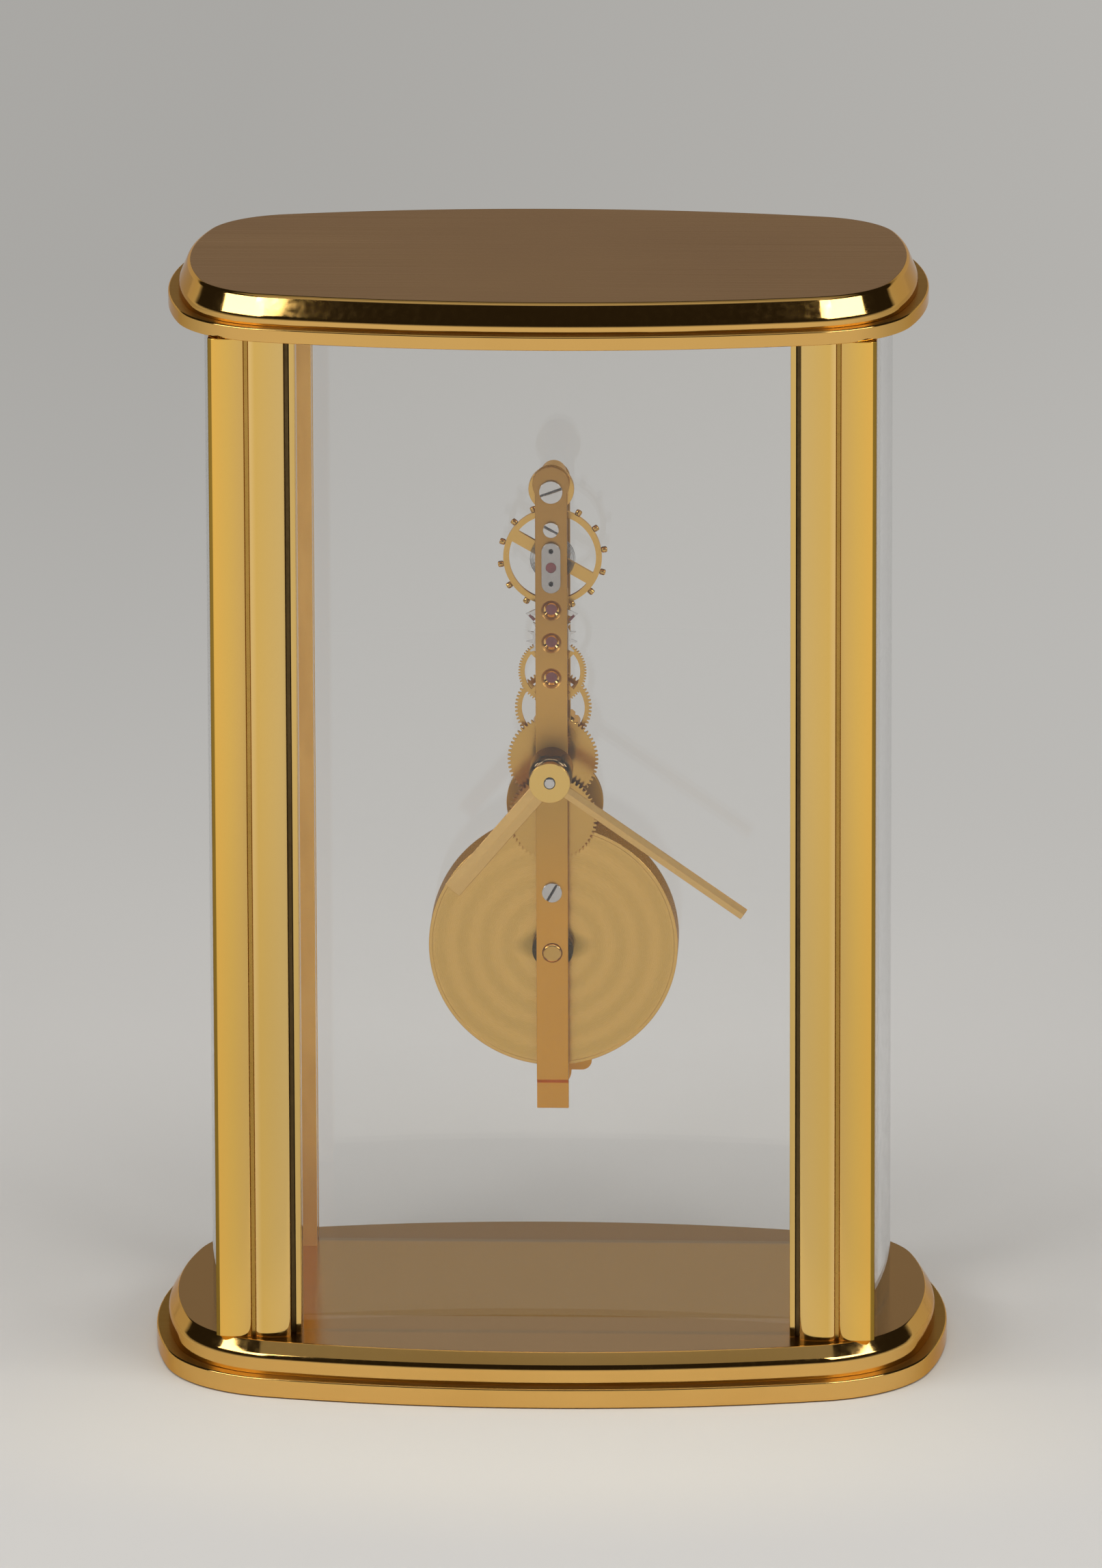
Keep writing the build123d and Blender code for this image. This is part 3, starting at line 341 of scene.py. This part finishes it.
bright_steel = steel("bright_steel", (0.62, 0.61, 0.60), (0.54, 0.53, 0.52), (0.10, 0.22))
plate_steel = steel("plate_steel", (0.44, 0.42, 0.40), (0.36, 0.34, 0.33), (0.14, 0.26))
# The darkest steel is blued steel, and it also serves as painted shade on the slots' floors and round the centre
# pin.
dark_steel_and_shade = steel("dark_steel_and_shade", (0.10, 0.10, 0.11), (0.06, 0.06, 0.07), (0.2, 0.35))
spring_steel = steel("spring_steel", (0.16, 0.16, 0.17), (0.11, 0.11, 0.12), (0.2, 0.3))
print("steels made")

# %% [markdown]
# ## Painted light and shade along the bars and across the reeds
# The bars are painted redder at the foot and browner at the head, and the reeds get painted highlights and shade
# across their width.
# Vertex colours would follow the mesh. A ramp along one axis of the clock doesn't depend on how the
# faces are cut, so it is used here.

# %% Tones along an axis
def shade_along(finish, axis, low, high, stops):
    """Paints light and shade on a finish along one axis of the clock, through colours at their places from low to
    high.
    """
    tree = finish.node_tree
    along = rescale(tree, reckon(tree, "ABSOLUTE", place_along(tree, axis)), low, high)
    shaded = ramp_colours(tree, along, [((place - low) / (high - low), colour) for place, colour in stops])
    tree.links.new(shaded, tree.nodes["Principled BSDF"].inputs["Base Color"])


# Painted light and shade along the bars: redder at the foot, browner at the head.
shade_along(bar_gilt, "Z", 0.05, 0.17,
            ((0.08, (0.74, 0.37, 0.06)), (0.105, (0.58, 0.345, 0.085)), (0.124, (0.66, 0.37, 0.09)),
             (0.14, (0.48, 0.26, 0.067))))
# Painted highlights beside the groove and near the outer edge, and painted shade at that edge.
shade_along(gilt_reeds, "X", 0.045, 0.062,
            ((0.0458, (0.80, 0.54, 0.17)), (0.0477, (0.82, 0.57, 0.21)), (0.0530, (0.86, 0.56, 0.15)),
             (0.0540, (0.96, 0.66, 0.25)), (0.0553, (0.80, 0.52, 0.16)), (0.0582, (0.90, 0.57, 0.135)),
             (0.0608, (0.99, 0.585, 0.12)), (0.0614, (0.80, 0.46, 0.08))))
print("bars and reeds toned")

# %% [markdown]
# ## The turned barrel
# The barrel is turned on a lathe, so its marks are rings about its arbor, and a darker oval of
# painted shade lies round the arbor. Anisotropic gloss would need tangents on every face. A wave
# texture in rings sets the gloss and a slight bump, and the painted shade is a mix by distance.

# %% Turned barrel
wave_pitch, turning_pitch = 0.0043, 0.00035
oval_stretch, arbor_shade_colour = (125, 0, 300), (0.30, 0.20, 0.045)
barrel_turned, tree, shader = new_finish("barrel_turned")
shader.inputs["Metallic"].default_value = 1.0
shader.inputs["Specular Tint"].default_value = (*gilt_edge, 1)
broad = rings(tree, barrel_z, wave_pitch)
waves = blend_colours(tree, broad, (0.70, 0.44, 0.125), (0.76, 0.475, 0.14), 0.1, 0.9)
# A darker oval round the arbor, painted shade.
from_arbor = distance_from(tree, (0, 0, -barrel_z * oval_stretch[2]), oval_stretch)
oval = rescale(tree, from_arbor, 0.55, 1.05, 0.62, 0.0, "SMOOTHSTEP")
tree.links.new(mix_colours(tree, oval, waves, arbor_shade_colour), shader.inputs["Base Color"])
fine = rings(tree, barrel_z, turning_pitch)
tree.links.new(spread(tree, fine, 0.18, 0.27), shader.inputs["Roughness"])
bump = add_node(tree, "ShaderNodeBump", {"Height": fine, "Strength": 0.1, "Distance": 0.00001})
tree.links.new(bump.outputs["Normal"], shader.inputs["Normal"])
print("barrel finish made")

# %% [markdown]
# ## Ruby, glass and felt
# The jewels are synthetic ruby, so dark that an opaque red with ruby's index of refraction shows
# them well. The panes are clear glass. Glass would throw a solid shadow here, so for shadow rays the
# pane is simply transparent. The felt is dark and fibrous, with a little sheen.

# %% Ruby and glass
ruby, tree, shader = new_finish("ruby")
reds = blend_colours(tree, grain(tree, 600), (0.14, 0.010, 0.016), (0.20, 0.016, 0.025))
tree.links.new(reds, shader.inputs["Base Color"])
shader.inputs["Roughness"].default_value = 0.08
shader.inputs["IOR"].default_value = 1.76

pane_tint = (0.99, 0.99, 0.988, 1)
glass, tree, shader = new_finish("glass")
shader.inputs["Base Color"].default_value = pane_tint
shader.inputs["Transmission Weight"].default_value = 1.0
shader.inputs["IOR"].default_value = 1.45
tree.links.new(spread(tree, grain(tree, 40), 0.0, 0.012), shader.inputs["Roughness"])
clear = add_node(tree, "ShaderNodeBsdfTransparent", {"Color": pane_tint})
shadow = add_node(tree, "ShaderNodeLightPath").outputs["Is Shadow Ray"]
mixed = add_node(tree, "ShaderNodeMixShader", {0: shadow, 1: shader.outputs["BSDF"], 2: clear.outputs["BSDF"]})
tree.links.new(mixed.outputs["Shader"], tree.nodes["Material Output"].inputs["Surface"])
print("ruby and glass made")

# %% Felt
felt_nap, tree, shader = new_finish("felt_nap")
fibres = grain(tree, 1400, 4.0)
greens = blend_colours(tree, fibres, (0.006, 0.010, 0.008), (0.02, 0.03, 0.024))
tree.links.new(greens, shader.inputs["Base Color"])
shader.inputs["Roughness"].default_value = 0.95
shader.inputs["Sheen Weight"].default_value = 0.4
bump = add_node(tree, "ShaderNodeBump", {"Height": fibres, "Strength": 0.6, "Distance": 0.0003})
tree.links.new(bump.outputs["Normal"], shader.inputs["Normal"])
print("felt made")

# %% [markdown]
# ## Every solid gets a finish
# The record says which kind of material each solid is, so most finishes follow from it in one loop.
# The bars, hands, hub, end plate and barrel then get their own. The wheels, arbors and pinions keep
# the solids' crisp teeth, and only get a finish.

# %% Coats
finish_of = {"gilt": gilt_polished, "movement_brass": movement_gilt, "glass": glass, "steel": bright_steel,
             "blued_steel": dark_steel_and_shade, "ruby": ruby, "felt": felt_nap}
own_finish = {"hour_hand": hand_gilt, "minute_hand": hand_gilt, "hand_hub": hub_gilt, "front_bar": bar_gilt,
              "rear_bar": bar_gilt, "balance_end_plate": plate_steel, "barrel_drum": barrel_turned,
              "barrel_cover": barrel_turned}


def coat(piece, finish):
    piece.data.materials.clear()
    piece.data.materials.append(finish)


def paint(piece, finish, test):
    """Gives the faces that pass a test another finish."""
    piece.data.materials.append(finish)
    index = len(piece.data.materials) - 1
    for face in piece.data.polygons:
        if test(face):
            face.material_index = index


for name, solid in frame["nodes"].items():
    if solid.type == "MESH":
        coat(solid, own_finish.get(name, finish_of[slot_of[name]]))
print("finishes given to", len(frame["nodes"]), "solids")

# %% [markdown]
# ## Plates with brushed tops
# The stepped plates are polished on their walls and bevels and brushed on their flat tops. The copy
# of each solid gets a second finish on the faces that look straight up. The upper edge of the cap
# and the lower edges of the bevels are rounder than the rest, so those edges get wider bevels of
# their own before the fine bevel goes round every edge.

# %% Case plates
plate_edge, plate_turn, band_segments = 0.00018, 15, 5
platform_bevel_foot = (0.00265, 0.0007)
cap_upper_edge, cap_bevel_foot = (0, 0.0006), (0.004, 0.0005)


def soften(*bands):
    """Rounds the edges that run round a plate at some depths below its top, each to its own width."""
    def shape(piece):
        top = max(v.co.z for v in piece.data.vertices)
        for drop, width in bands:
            def on_band(edge):
                level = all(abs(v.co.z - top + drop) < 1e-5 for v in edge.verts)
                if not level or len(edge.link_faces) != 2:
                    return False
                return abs(edge.link_faces[0].normal.z - edge.link_faces[1].normal.z) > 0.2

            pick(piece, "EDGE", on_band)
            bpy.ops.mesh.bevel(offset=width, offset_type="OFFSET", segments=band_segments, affect="EDGES")
    return shape


for name, top_finish, shape in (("base_plinth", ledge_brushed, None),
                                ("base_platform", platform_brushed, soften(platform_bevel_foot)),
                                ("top_rim", ledge_brushed, None),
                                ("top_cap", gilt_brushed, soften(cap_upper_edge, cap_bevel_foot))):
    plate = dressed(name, plate_edge, plate_turn, shape=shape)
    coat(plate, gilt_polished)
    paint(plate, top_finish, lambda face: face.normal.z > 0.97)
    print(plate.name, len(plate.data.polygons), "faces")

# %% [markdown]
# ## Reeded pillars
# Each pillar has two reeds side by side and a flange towards the pane. In the clock the reeds are so
# low that they mirror the floor over nearly their whole width. Full arcs would mirror each other and
# turn brown, so the copy's reeds are drawn out towards their crest. The groove between them, the gap
# beside the flange and the outer edge get darker golds, as painted shade, and the inner sides get a
# satin gold.

# %% Shaping the reeds
reed_crest, reed_lowness, groove_rise = 0.0355, 0.3, 0.00195
reeds_from, reeds_to, reed_spring = 0.0476, 0.0611, 0.0329
groove_width, groove_floor = (0.0542, 0.0552), (0.032, 0.033)


def within(value, span):
    return span[0] < abs(value) < span[1]


def flatten_reeds(piece):
    """Draws the reeds' sides and the groove between them out towards the crest."""
    out = math.copysign(1, piece.data.vertices[0].co.y)
    pick(piece, "EDGE", lambda e: all(abs(v.co.x) > reeds_from and abs(v.co.y) > reed_spring for v in e.verts))
    bpy.ops.transform.resize(value=(1, reed_lowness, 1), center_override=(0, out * reed_crest, 0))
    pick(piece, "EDGE", lambda e: all(within(v.co.x, groove_width) and within(v.co.y, groove_floor)
                                      for v in e.verts))
    bpy.ops.transform.translate(value=(0, out * groove_rise, 0))


# %% Pillars
pillar_edge, reed_side = 0.00012, 0.0340
groove_depth, gap_width, gap_depth = (reed_side, 0.0349), (0.0468, 0.0478), (0.0323, 0.0348)


def inner_side(face):
    """Whether a pillar's face looks towards the middle of the case."""
    return face.normal.y * face.center.y < 0


def in_groove(face):
    """Whether a pillar's face lies between its reeds."""
    return within(face.center.x, groove_width) and within(face.center.y, groove_depth)


def in_gap(face):
    """Whether a pillar's face lies in the gap beside the flange."""
    return within(face.center.x, gap_width) and within(face.center.y, gap_depth)


def at_edge(face):
    """Whether a pillar's face is at the outer edge of its reeds."""
    return abs(face.center.x) > reeds_to and abs(face.center.y) > reed_side


# The groove, gap and outer-edge golds are painted shade.
own_gold = ((gilt_satin, inner_side), (groove_shade_gilt, in_groove), (gap_shade_gilt, in_gap), (gilt_shade, at_edge))
for name in ("pillar_front_left", "pillar_front_right", "pillar_rear_left", "pillar_rear_right"):
    pillar = dressed(name, pillar_edge, shape=flatten_reeds)
    coat(pillar, gilt_reeds)
    for finish, test in own_gold:
        paint(pillar, finish, test)
    print(pillar.name, len(pillar.data.polygons), "faces")

# %% [markdown]
# ## Panes
# A pane that only touches the platform shows a dark hairline where its foot mirrors the inside of the
# glass. Panes of such a case are bedded, so the copies are drawn a little into the plates at both ends.

# %% Bedded panes
bed_below, bed_above = 0.0005, 0.0006


def bed(piece):
    heights = [v.co.z for v in piece.data.vertices]
    for level, step in ((min(heights), -bed_below), (max(heights), bed_above)):
        pick(piece, "EDGE", lambda e: all(abs(v.co.z - level) < 1e-5 for v in e.verts))
        bpy.ops.transform.translate(value=(0, 0, step))


for name in ("front_glass", "rear_glass", "side_glass_left", "side_glass_right"):
    pane = dressed(name, shape=bed)
    coat(pane, glass)
print("panes bedded")

# %% [markdown]
# ## Bars, hub, collar and knobs
# These pieces catch the light along their edges, so their copies get a fine bevel. The collar and the
# end of the barrel's arbor are rounded further at the front, like turned buttons. The sides of the bars
# and of the drum are painted a darker gold than their faces, as painted shade.

# %% Bars, hub and knobs
fine_edge = 0.0001
for name in ("front_bar", "rear_bar", "pallet_cock", "barrel_drum", "hour_hand", "hand_hub", "balance_end_plate",
             "winding_knob", "setting_knob", "bar_posts"):
    piece = dressed(name, fine_edge)
    coat(piece, frame["nodes"][name].data.materials[0])
    if name in ("front_bar", "rear_bar", "barrel_drum"):
        # The sides are painted a darker gold, as painted shade.
        paint(piece, side_shade_gilt, lambda face: abs(face.normal.y) < 0.5)
print("bars, hub and knobs dressed")


# %% Collar and arbors
collar_round, collar_bore, button_round, pin_edge = 0.0016, 0.003, 0.00045, 0.0003
rim_screw_edge, rim_screw_turn, behind_drum = 0.00025, 50, 0.0095


def round_front(width, segments, clear_of=0.0):
    """Rounds the edges of a piece's front face that lie further than a radius from the centre arbor."""
    def shape(piece):
        front = min(v.co.y for v in piece.data.vertices) + 1e-5
        pick(piece, "EDGE", lambda e: all(v.co.y < front for v in e.verts) and
             min(math.hypot(v.co.x, v.co.z - centre_z) for v in e.verts) > clear_of)
        bpy.ops.mesh.bevel(offset=width, offset_type="OFFSET", segments=segments, affect="EDGES")
    return shape


# The collar is painted dark, as a painted reflection.
coat(dressed("centre_collar", fine_edge, shape=round_front(collar_round, 6, collar_bore)), collar_painted_dark)
coat(dressed("balance_screws", rim_screw_edge, rim_screw_turn), movement_gilt)
pin = dressed("centre_arbor", pin_edge)
coat(pin, bright_steel)
# The pin's sides are painted dark, a painted shade ring round the pin.
paint(pin, dark_steel_and_shade, lambda face: abs(face.normal.y) < 0.95)
arbor = dressed("barrel_arbor", fine_edge, shape=round_front(button_round, 4))
coat(arbor, movement_gilt)
# The arbor behind the bar is painted dark, as painted shade in the gap.
paint(arbor, arbor_gap_shade, lambda face: face.center.y > behind_drum)
print("collar, arbors and the balance's screws dressed")

# %% [markdown]
# ## Jewels and screws
# Each pivot runs in a ruby that is pressed into a polished, dished setting. Insetting the front of the
# jewel and pushing the inner face back makes that dish, and its sloping ring is gilt. The screws have
# softened rims, and the floors of their slots are painted dark, as painted shade. A slot's floor is a
# face that looks the same way as the head, a little below it, so it is found on each screw by itself.

# %% Jewels
dish_width, dish_depth, jewel_face = 0.0004, 0.0003, 4e-6


def sink(towards):
    def shape(piece):
        pick(piece, "FACE", lambda f: f.normal.y * towards > 0.99 and f.calc_area() > jewel_face)
        bpy.ops.mesh.inset(thickness=dish_width, depth=-dish_depth, use_individual=True)
    return shape


for name, towards in (("front_jewels", -1), ("rear_jewels", 1)):
    jewels = dressed(name, shape=sink(towards))
    coat(jewels, ruby)
    paint(jewels, gilt_polished, lambda face: 0.2 < face.normal.y * towards < 0.95)
    print(jewels.name, len(jewels.data.polygons), "faces")


# %% Screws
slot_depth = (0.0001, 0.0006)


def islands(mesh):
    """The separate shells of a mesh, each as a list of its faces' numbers."""
    work = bmesh.new()
    work.from_mesh(mesh)
    waiting, found = set(work.faces), []
    while waiting:
        shell, edge = [], [waiting.pop()]
        while edge:
            face = edge.pop()
            shell.append(face.index)
            for near in {f for e in face.edges for f in e.link_faces} & waiting:
                waiting.discard(near)
                edge.append(near)
        found.append(shell)
    work.free()
    return found


def paint_slot_shade(piece):
    """Paints shade on the floors of the screws' slots, on both ends of each screw."""
    floors = set()
    for shell in islands(piece.data):
        for towards in (-1, 1):
            facing = [piece.data.polygons[i] for i in shell if piece.data.polygons[i].normal.y * towards > 0.9]
            head = max(face.center.y * towards for face in facing)
            floors |= {face.index for face in facing if within(head - face.center.y * towards, slot_depth)}
    # The slots' floors are painted dark, as painted shade.
    paint(piece, dark_steel_and_shade, lambda face: face.index in floors)


for name in ("bar_screws", "mount_screws", "end_plate_screws", "click_screw"):
    screws = dressed(name, fine_edge)
    coat(screws, dark_steel_and_shade if name == "end_plate_screws" else bright_steel)
    paint_slot_shade(screws)
print("screws dressed")

# %% [markdown]
# ## The barrel's cover
# The cover is a thin disc turned on a lathe, with soft waves from the tool. A cylinder gives the disc,
# and insetting its front face again and again, each time a little forward or back, makes the waves.
# Bridging the two inner rims leaves the hole for the arbor.

# %% Barrel cover
low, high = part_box("barrel_cover")
cover_radius, bore_radius, wave_step = (high[0] - low[0]) / 2, 0.00185, 0.0006
wave_height, wave_length = 0.000012, 0.0036
bpy.ops.object.select_all(action="DESELECT")
bpy.ops.mesh.primitive_cylinder_add(vertices=144, radius=cover_radius, depth=high[1] - low[1],
                                    location=(0, (low[1] + high[1]) / 2, barrel_z), rotation=(math.pi / 2, 0, 0))
cover = bpy.context.object
cover.name = "barrel_cover_turned"
bpy.ops.object.transform_apply(location=True, rotation=True)
bpy.ops.object.mode_set(mode="EDIT")
pick(cover, "FACE", lambda f: f.normal.y < -0.9)
radius = cover_radius
while radius - wave_step > bore_radius:
    radius -= wave_step
    phase = 2 * math.pi * (cover_radius - radius) / wave_length
    bpy.ops.mesh.inset(thickness=wave_step, depth=-wave_height * math.sin(phase))
bpy.ops.mesh.inset(thickness=radius - bore_radius)
bpy.ops.mesh.delete(type="FACE")
print("front of the cover turned in steps of", wave_step)

# %% Bore of the cover
pick(cover, "FACE", lambda f: f.normal.y > 0.9)
bpy.ops.mesh.inset(thickness=cover_radius - bore_radius)
bpy.ops.mesh.delete(type="FACE")
bpy.ops.mesh.select_mode(type="EDGE")
bpy.ops.mesh.select_non_manifold()
bpy.ops.mesh.bridge_edge_loops()
bpy.ops.mesh.select_all(action="SELECT")
bpy.ops.mesh.normals_make_consistent(inside=False)
bpy.ops.object.mode_set(mode="OBJECT")
bpy.ops.object.shade_smooth_by_angle(angle=math.radians(30))
coat(cover, barrel_turned)
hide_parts("barrel_cover")
settle(cover, "barrel_cover")
print("cover", [round(d, 5) for d in cover.dimensions], "against", [round(h - l, 5) for l, h in zip(low, high)])

# %% [markdown]
# ## The minute hand
# The blade has a low ridge, so its two slopes are nearly flat and take one tone. The solid's ridge is
# higher. Rather than model the hand anew, the copy's long edges are drawn forward, towards the ridge.

# %% Minute hand
ridge_height, edge_forward, blade_edge, blade_turn = 0.00055, 0.00038, 0.00008, 8


def flatten(piece):
    level = min(v.co.y for v in piece.data.vertices) + ridge_height
    pick(piece, "EDGE", lambda e: all(abs(v.co.y - level) < 3e-5 for v in e.verts))
    bpy.ops.transform.translate(value=(0, -edge_forward, 0))


hand = dressed("minute_hand", blade_edge, blade_turn, shape=flatten)
coat(hand, hand_gilt)
print("minute hand", [round(d, 5) for d in hand.dimensions])

# %% [markdown]
# ## The hairspring
# The hairspring is a thin strip wound into a spiral around the balance staff, and pinned to a stud
# above. A curve with a screw modifier would also wind it. Spinning the strip's end by half turns about
# two centres in turn is simpler, as a draughtsman draws a spiral with compasses.

# %% Hairspring
coil_turns, coil_inner, coil_pitch, strip_width = 12, 0.0016, 0.0028 / 12, 0.00009
low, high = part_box("hairspring")
middle_y, strip_height = (low[1] + high[1]) / 2, high[1] - low[1]
bpy.ops.object.select_all(action="DESELECT")
bpy.ops.mesh.primitive_plane_add(size=1, location=(0, middle_y, balance_z + coil_inner),
                                 rotation=(0, math.pi / 2, 0))
coil = bpy.context.object
coil.name = "hairspring_coil"
coil.scale = (strip_width, strip_height, 1)
bpy.ops.object.transform_apply(location=True, rotation=True, scale=True)
bpy.ops.object.mode_set(mode="EDIT")
bpy.ops.mesh.select_all(action="SELECT")
for half in range(2 * coil_turns):
    rise = (half % 2) * coil_pitch / 2
    bpy.ops.mesh.spin(steps=14, angle=math.pi, center=(0, middle_y, balance_z + rise), axis=(0, 1, 0))
bpy.ops.mesh.select_all(action="SELECT")
bpy.ops.mesh.remove_doubles(threshold=1e-7)
bpy.ops.mesh.normals_make_consistent(inside=False)
bpy.ops.object.mode_set(mode="OBJECT")
bpy.ops.object.shade_smooth_by_angle(angle=math.radians(40))
coat(coil, spring_steel)
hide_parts("hairspring")
settle(coil, "hairspring")
print("coil", [round(d, 5) for d in coil.dimensions], "against", [round(h - l, 5) for l, h in zip(low, high)])

# %% [markdown]
# ## The felt
# The felt is a soft pad glued under the plinth, with a rounded edge and a napped face. It is hardly
# seen, so a bevelled copy of the solid is enough.

# %% Felt pad
pad_edge = 0.0004
pad = dressed("base_felt", pad_edge)
coat(pad, felt_nap)
print("felt pad", [round(d, 4) for d in pad.dimensions])

# %% [markdown]
# ## The floor
# The clock stands on a wide pale floor, which is painted a little paler and warmer in front of the base,
# as a painted reflection from the gilt. Near the clock the lamps light it, so it takes the clock's
# shadow. Further off a lit floor would fade into the dark, so there it is shown at a tone of its own
# to the camera, to mirrors and through glass. That tone is painted light: paler in front, darker
# behind, and behind the clock darker at the left than at the right.

# %% Floor
bpy.ops.object.select_all(action="DESELECT")
bpy.ops.mesh.primitive_plane_add(size=16, location=(0, 0, -0.0002))
floor = bpy.context.object
floor.name = "floor"
bpy.ops.object.transform_apply(location=True)
bpy.ops.object.mode_set(mode="EDIT")
bpy.ops.mesh.subdivide(number_cuts=7)
bpy.ops.object.mode_set(mode="OBJECT")
print("floor spans", [round(v, 2) for v in floor.dimensions])

# %% Lit floor near the clock
warm_bounce_shift, warm_bounce_stretch, warm_bounce_colour = (0, 0.055, 0), (0.6, 1, 1), (0.71, 0.68, 0.62)
paper, tree, shader = new_finish("paper")
shader.inputs["Roughness"].default_value = 0.9
shader.inputs["Specular IOR Level"].default_value = 0.1
sheet = blend_colours(tree, grain(tree, 3), (0.62, 0.605, 0.58), (0.64, 0.625, 0.60))
# The paler, warmer pool before the base is a painted reflection from the gilt.
warm_bounce = rescale(tree, distance_from(tree, warm_bounce_shift, warm_bounce_stretch), 0.03, 0.085, 1.0, 0.0, "SMOOTHSTEP")
tree.links.new(mix_colours(tree, warm_bounce, sheet, warm_bounce_colour), shader.inputs["Base Color"])
print("floor near the clock finished")

# %% Plain floor further off
# The far floor's tone is painted light: paler in front, darker behind, and behind the clock darker at the left
# than at the right.
front_tone, middle_tone, back_tone = (0.72, 0.70, 0.67), (0.51, 0.50, 0.48), (0.43, 0.42, 0.40)
depth = rescale(tree, place_along(tree, "Y"), -0.5, 0.9)
tone = ramp_colours(tree, depth, ((0.0, front_tone), (0.5, middle_tone), (1.0, back_tone)))
aside = rescale(tree, place_along(tree, "X"), -0.12, 0.12, -0.075, 0.06)
behind = rescale(tree, place_along(tree, "Y"), 0.15, 0.7)
level = reckon(tree, "MULTIPLY_ADD", aside, behind, 1.0)
plain = add_node(tree, "ShaderNodeEmission", {"Color": tone, "Strength": level})
path = add_node(tree, "ShaderNodeLightPath").outputs
seen = reckon(tree, "MAXIMUM", path["Is Camera Ray"], path["Is Glossy Ray"])
seen = reckon(tree, "MAXIMUM", seen, path["Is Transmission Ray"])
far = rescale(tree, distance_from(tree), 0.16, 0.55, curve="SMOOTHSTEP")
share = reckon(tree, "MULTIPLY", seen, far)
mixed = add_node(tree, "ShaderNodeMixShader", {0: share, 1: shader.outputs["BSDF"], 2: plain.outputs["Emission"]})
tree.links.new(mixed.outputs["Shader"], tree.nodes["Material Output"].inputs["Surface"])
coat(floor, paper)
print("floor finished")

# %% [markdown]
# ## The camera
# The photograph was taken from far off with a long lens, a little above the clock. The place, roll and
# lens were found by fitting the plates' and pillars' corners, which is surer than setting them by eye.

# %% Camera
eye, roll = Vector((0.096635, -2.622996, 0.801531)), math.radians(-0.18389)
target = Vector((0.000153841, 0.0, 0.10799278))
turned = (target - eye).to_track_quat("-Z", "Y").to_matrix().to_4x4() @ Matrix.Rotation(roll, 4, "Z")
camera = bpy.data.objects.new("camera", bpy.data.cameras.new("camera"))
scene.collection.objects.link(camera)
camera.matrix_world = Matrix.Translation(eye) @ turned
camera.data.sensor_fit, camera.data.sensor_height, camera.data.lens = "VERTICAL", 36, 331.19075
camera.data.clip_end = 50
scene.camera = camera
print("camera at", [round(v, 3) for v in eye])

# %% [markdown]
# ## The light
# Gilt shows what it faces: its walls show the floor in front, its bevels the dark room above the
# camera, and its round corners the soft boxes at the left and right of the camera. One big lamp would
# wash all of that out. So there are two bright boxes with a narrow strip beside each for the corners,
# a dim one for the base's bevel, and a fill for the floor that mirrors don't show.

# %% Lamps
lamp_aim, box_strength = Vector((0, 0, 0.1)), 5.0


def soft_box(name, azimuth, elevation, distance, width, height, strength, mirrored=True):
    """A soft box that faces the clock, placed by its direction from the front. Strength is its radiance."""
    side, up = math.radians(azimuth), math.radians(elevation)
    way = Vector((math.sin(side) * math.cos(up), -math.cos(side) * math.cos(up), math.sin(up)))
    lamp = bpy.data.objects.new(name, bpy.data.lights.new(name, "AREA"))
    lamp.data.shape, lamp.data.size, lamp.data.size_y = "RECTANGLE", width, height
    lamp.data.energy = strength * math.pi * width * height
    lamp.location = way * distance + lamp_aim
    lamp.rotation_euler = (-way).to_track_quat("-Z", "Y").to_euler()
    lamp.visible_camera, lamp.visible_glossy = False, mirrored
    scene.collection.objects.link(lamp)


soft_box("left_box", -58.5, 29.5, 1.8, 1.49, 0.465, box_strength)
soft_box("right_box", 58.2, 29.5, 1.8, 1.44, 0.465, box_strength)
soft_box("ceiling_box", 0, 62, 2.2, 2.6, 1.4, 0.25)
soft_box("left_strip", -36.7, 36, 1.92, 0.32, 0.11, box_strength)
soft_box("right_strip", 36.4, 36, 1.92, 0.32, 0.11, box_strength)
soft_box("fill_box", 0, 77, 2.2, 2.0, 2.0, 2.45, mirrored=False)
print("lamps placed")

# %% [markdown]
# ## The room
# The room is pale low down behind the clock, dark in front and at the sides, and dim overhead. The
# flat tops mirror its low back, and the bevels its dark front.

# %% Room
room_pale, room_dark, room_overhead = (0.52, 0.51, 0.49), (0.02, 0.017, 0.015), (0.30, 0.295, 0.28)
world = bpy.data.worlds.new("studio")
scene.world = world
world.use_nodes = True
tree = world.node_tree
way = add_node(tree, "ShaderNodeTexCoord").outputs["Generated"]
parts = add_node(tree, "ShaderNodeSeparateXYZ", {"Vector": way}).outputs
not_behind = rescale(tree, parts["Y"], 0.5, 0.95, 0.225, 0.0)
level = reckon(tree, "MULTIPLY_ADD", parts["Z"], 0.75, not_behind)
room = ramp_colours(tree, level, ((0.225, room_pale), (0.33, room_dark), (0.81, room_dark), (0.9, room_overhead)))
tree.links.new(room, tree.nodes["Background"].inputs["Color"])
scene.view_settings.view_transform = "Standard"
print("room made")
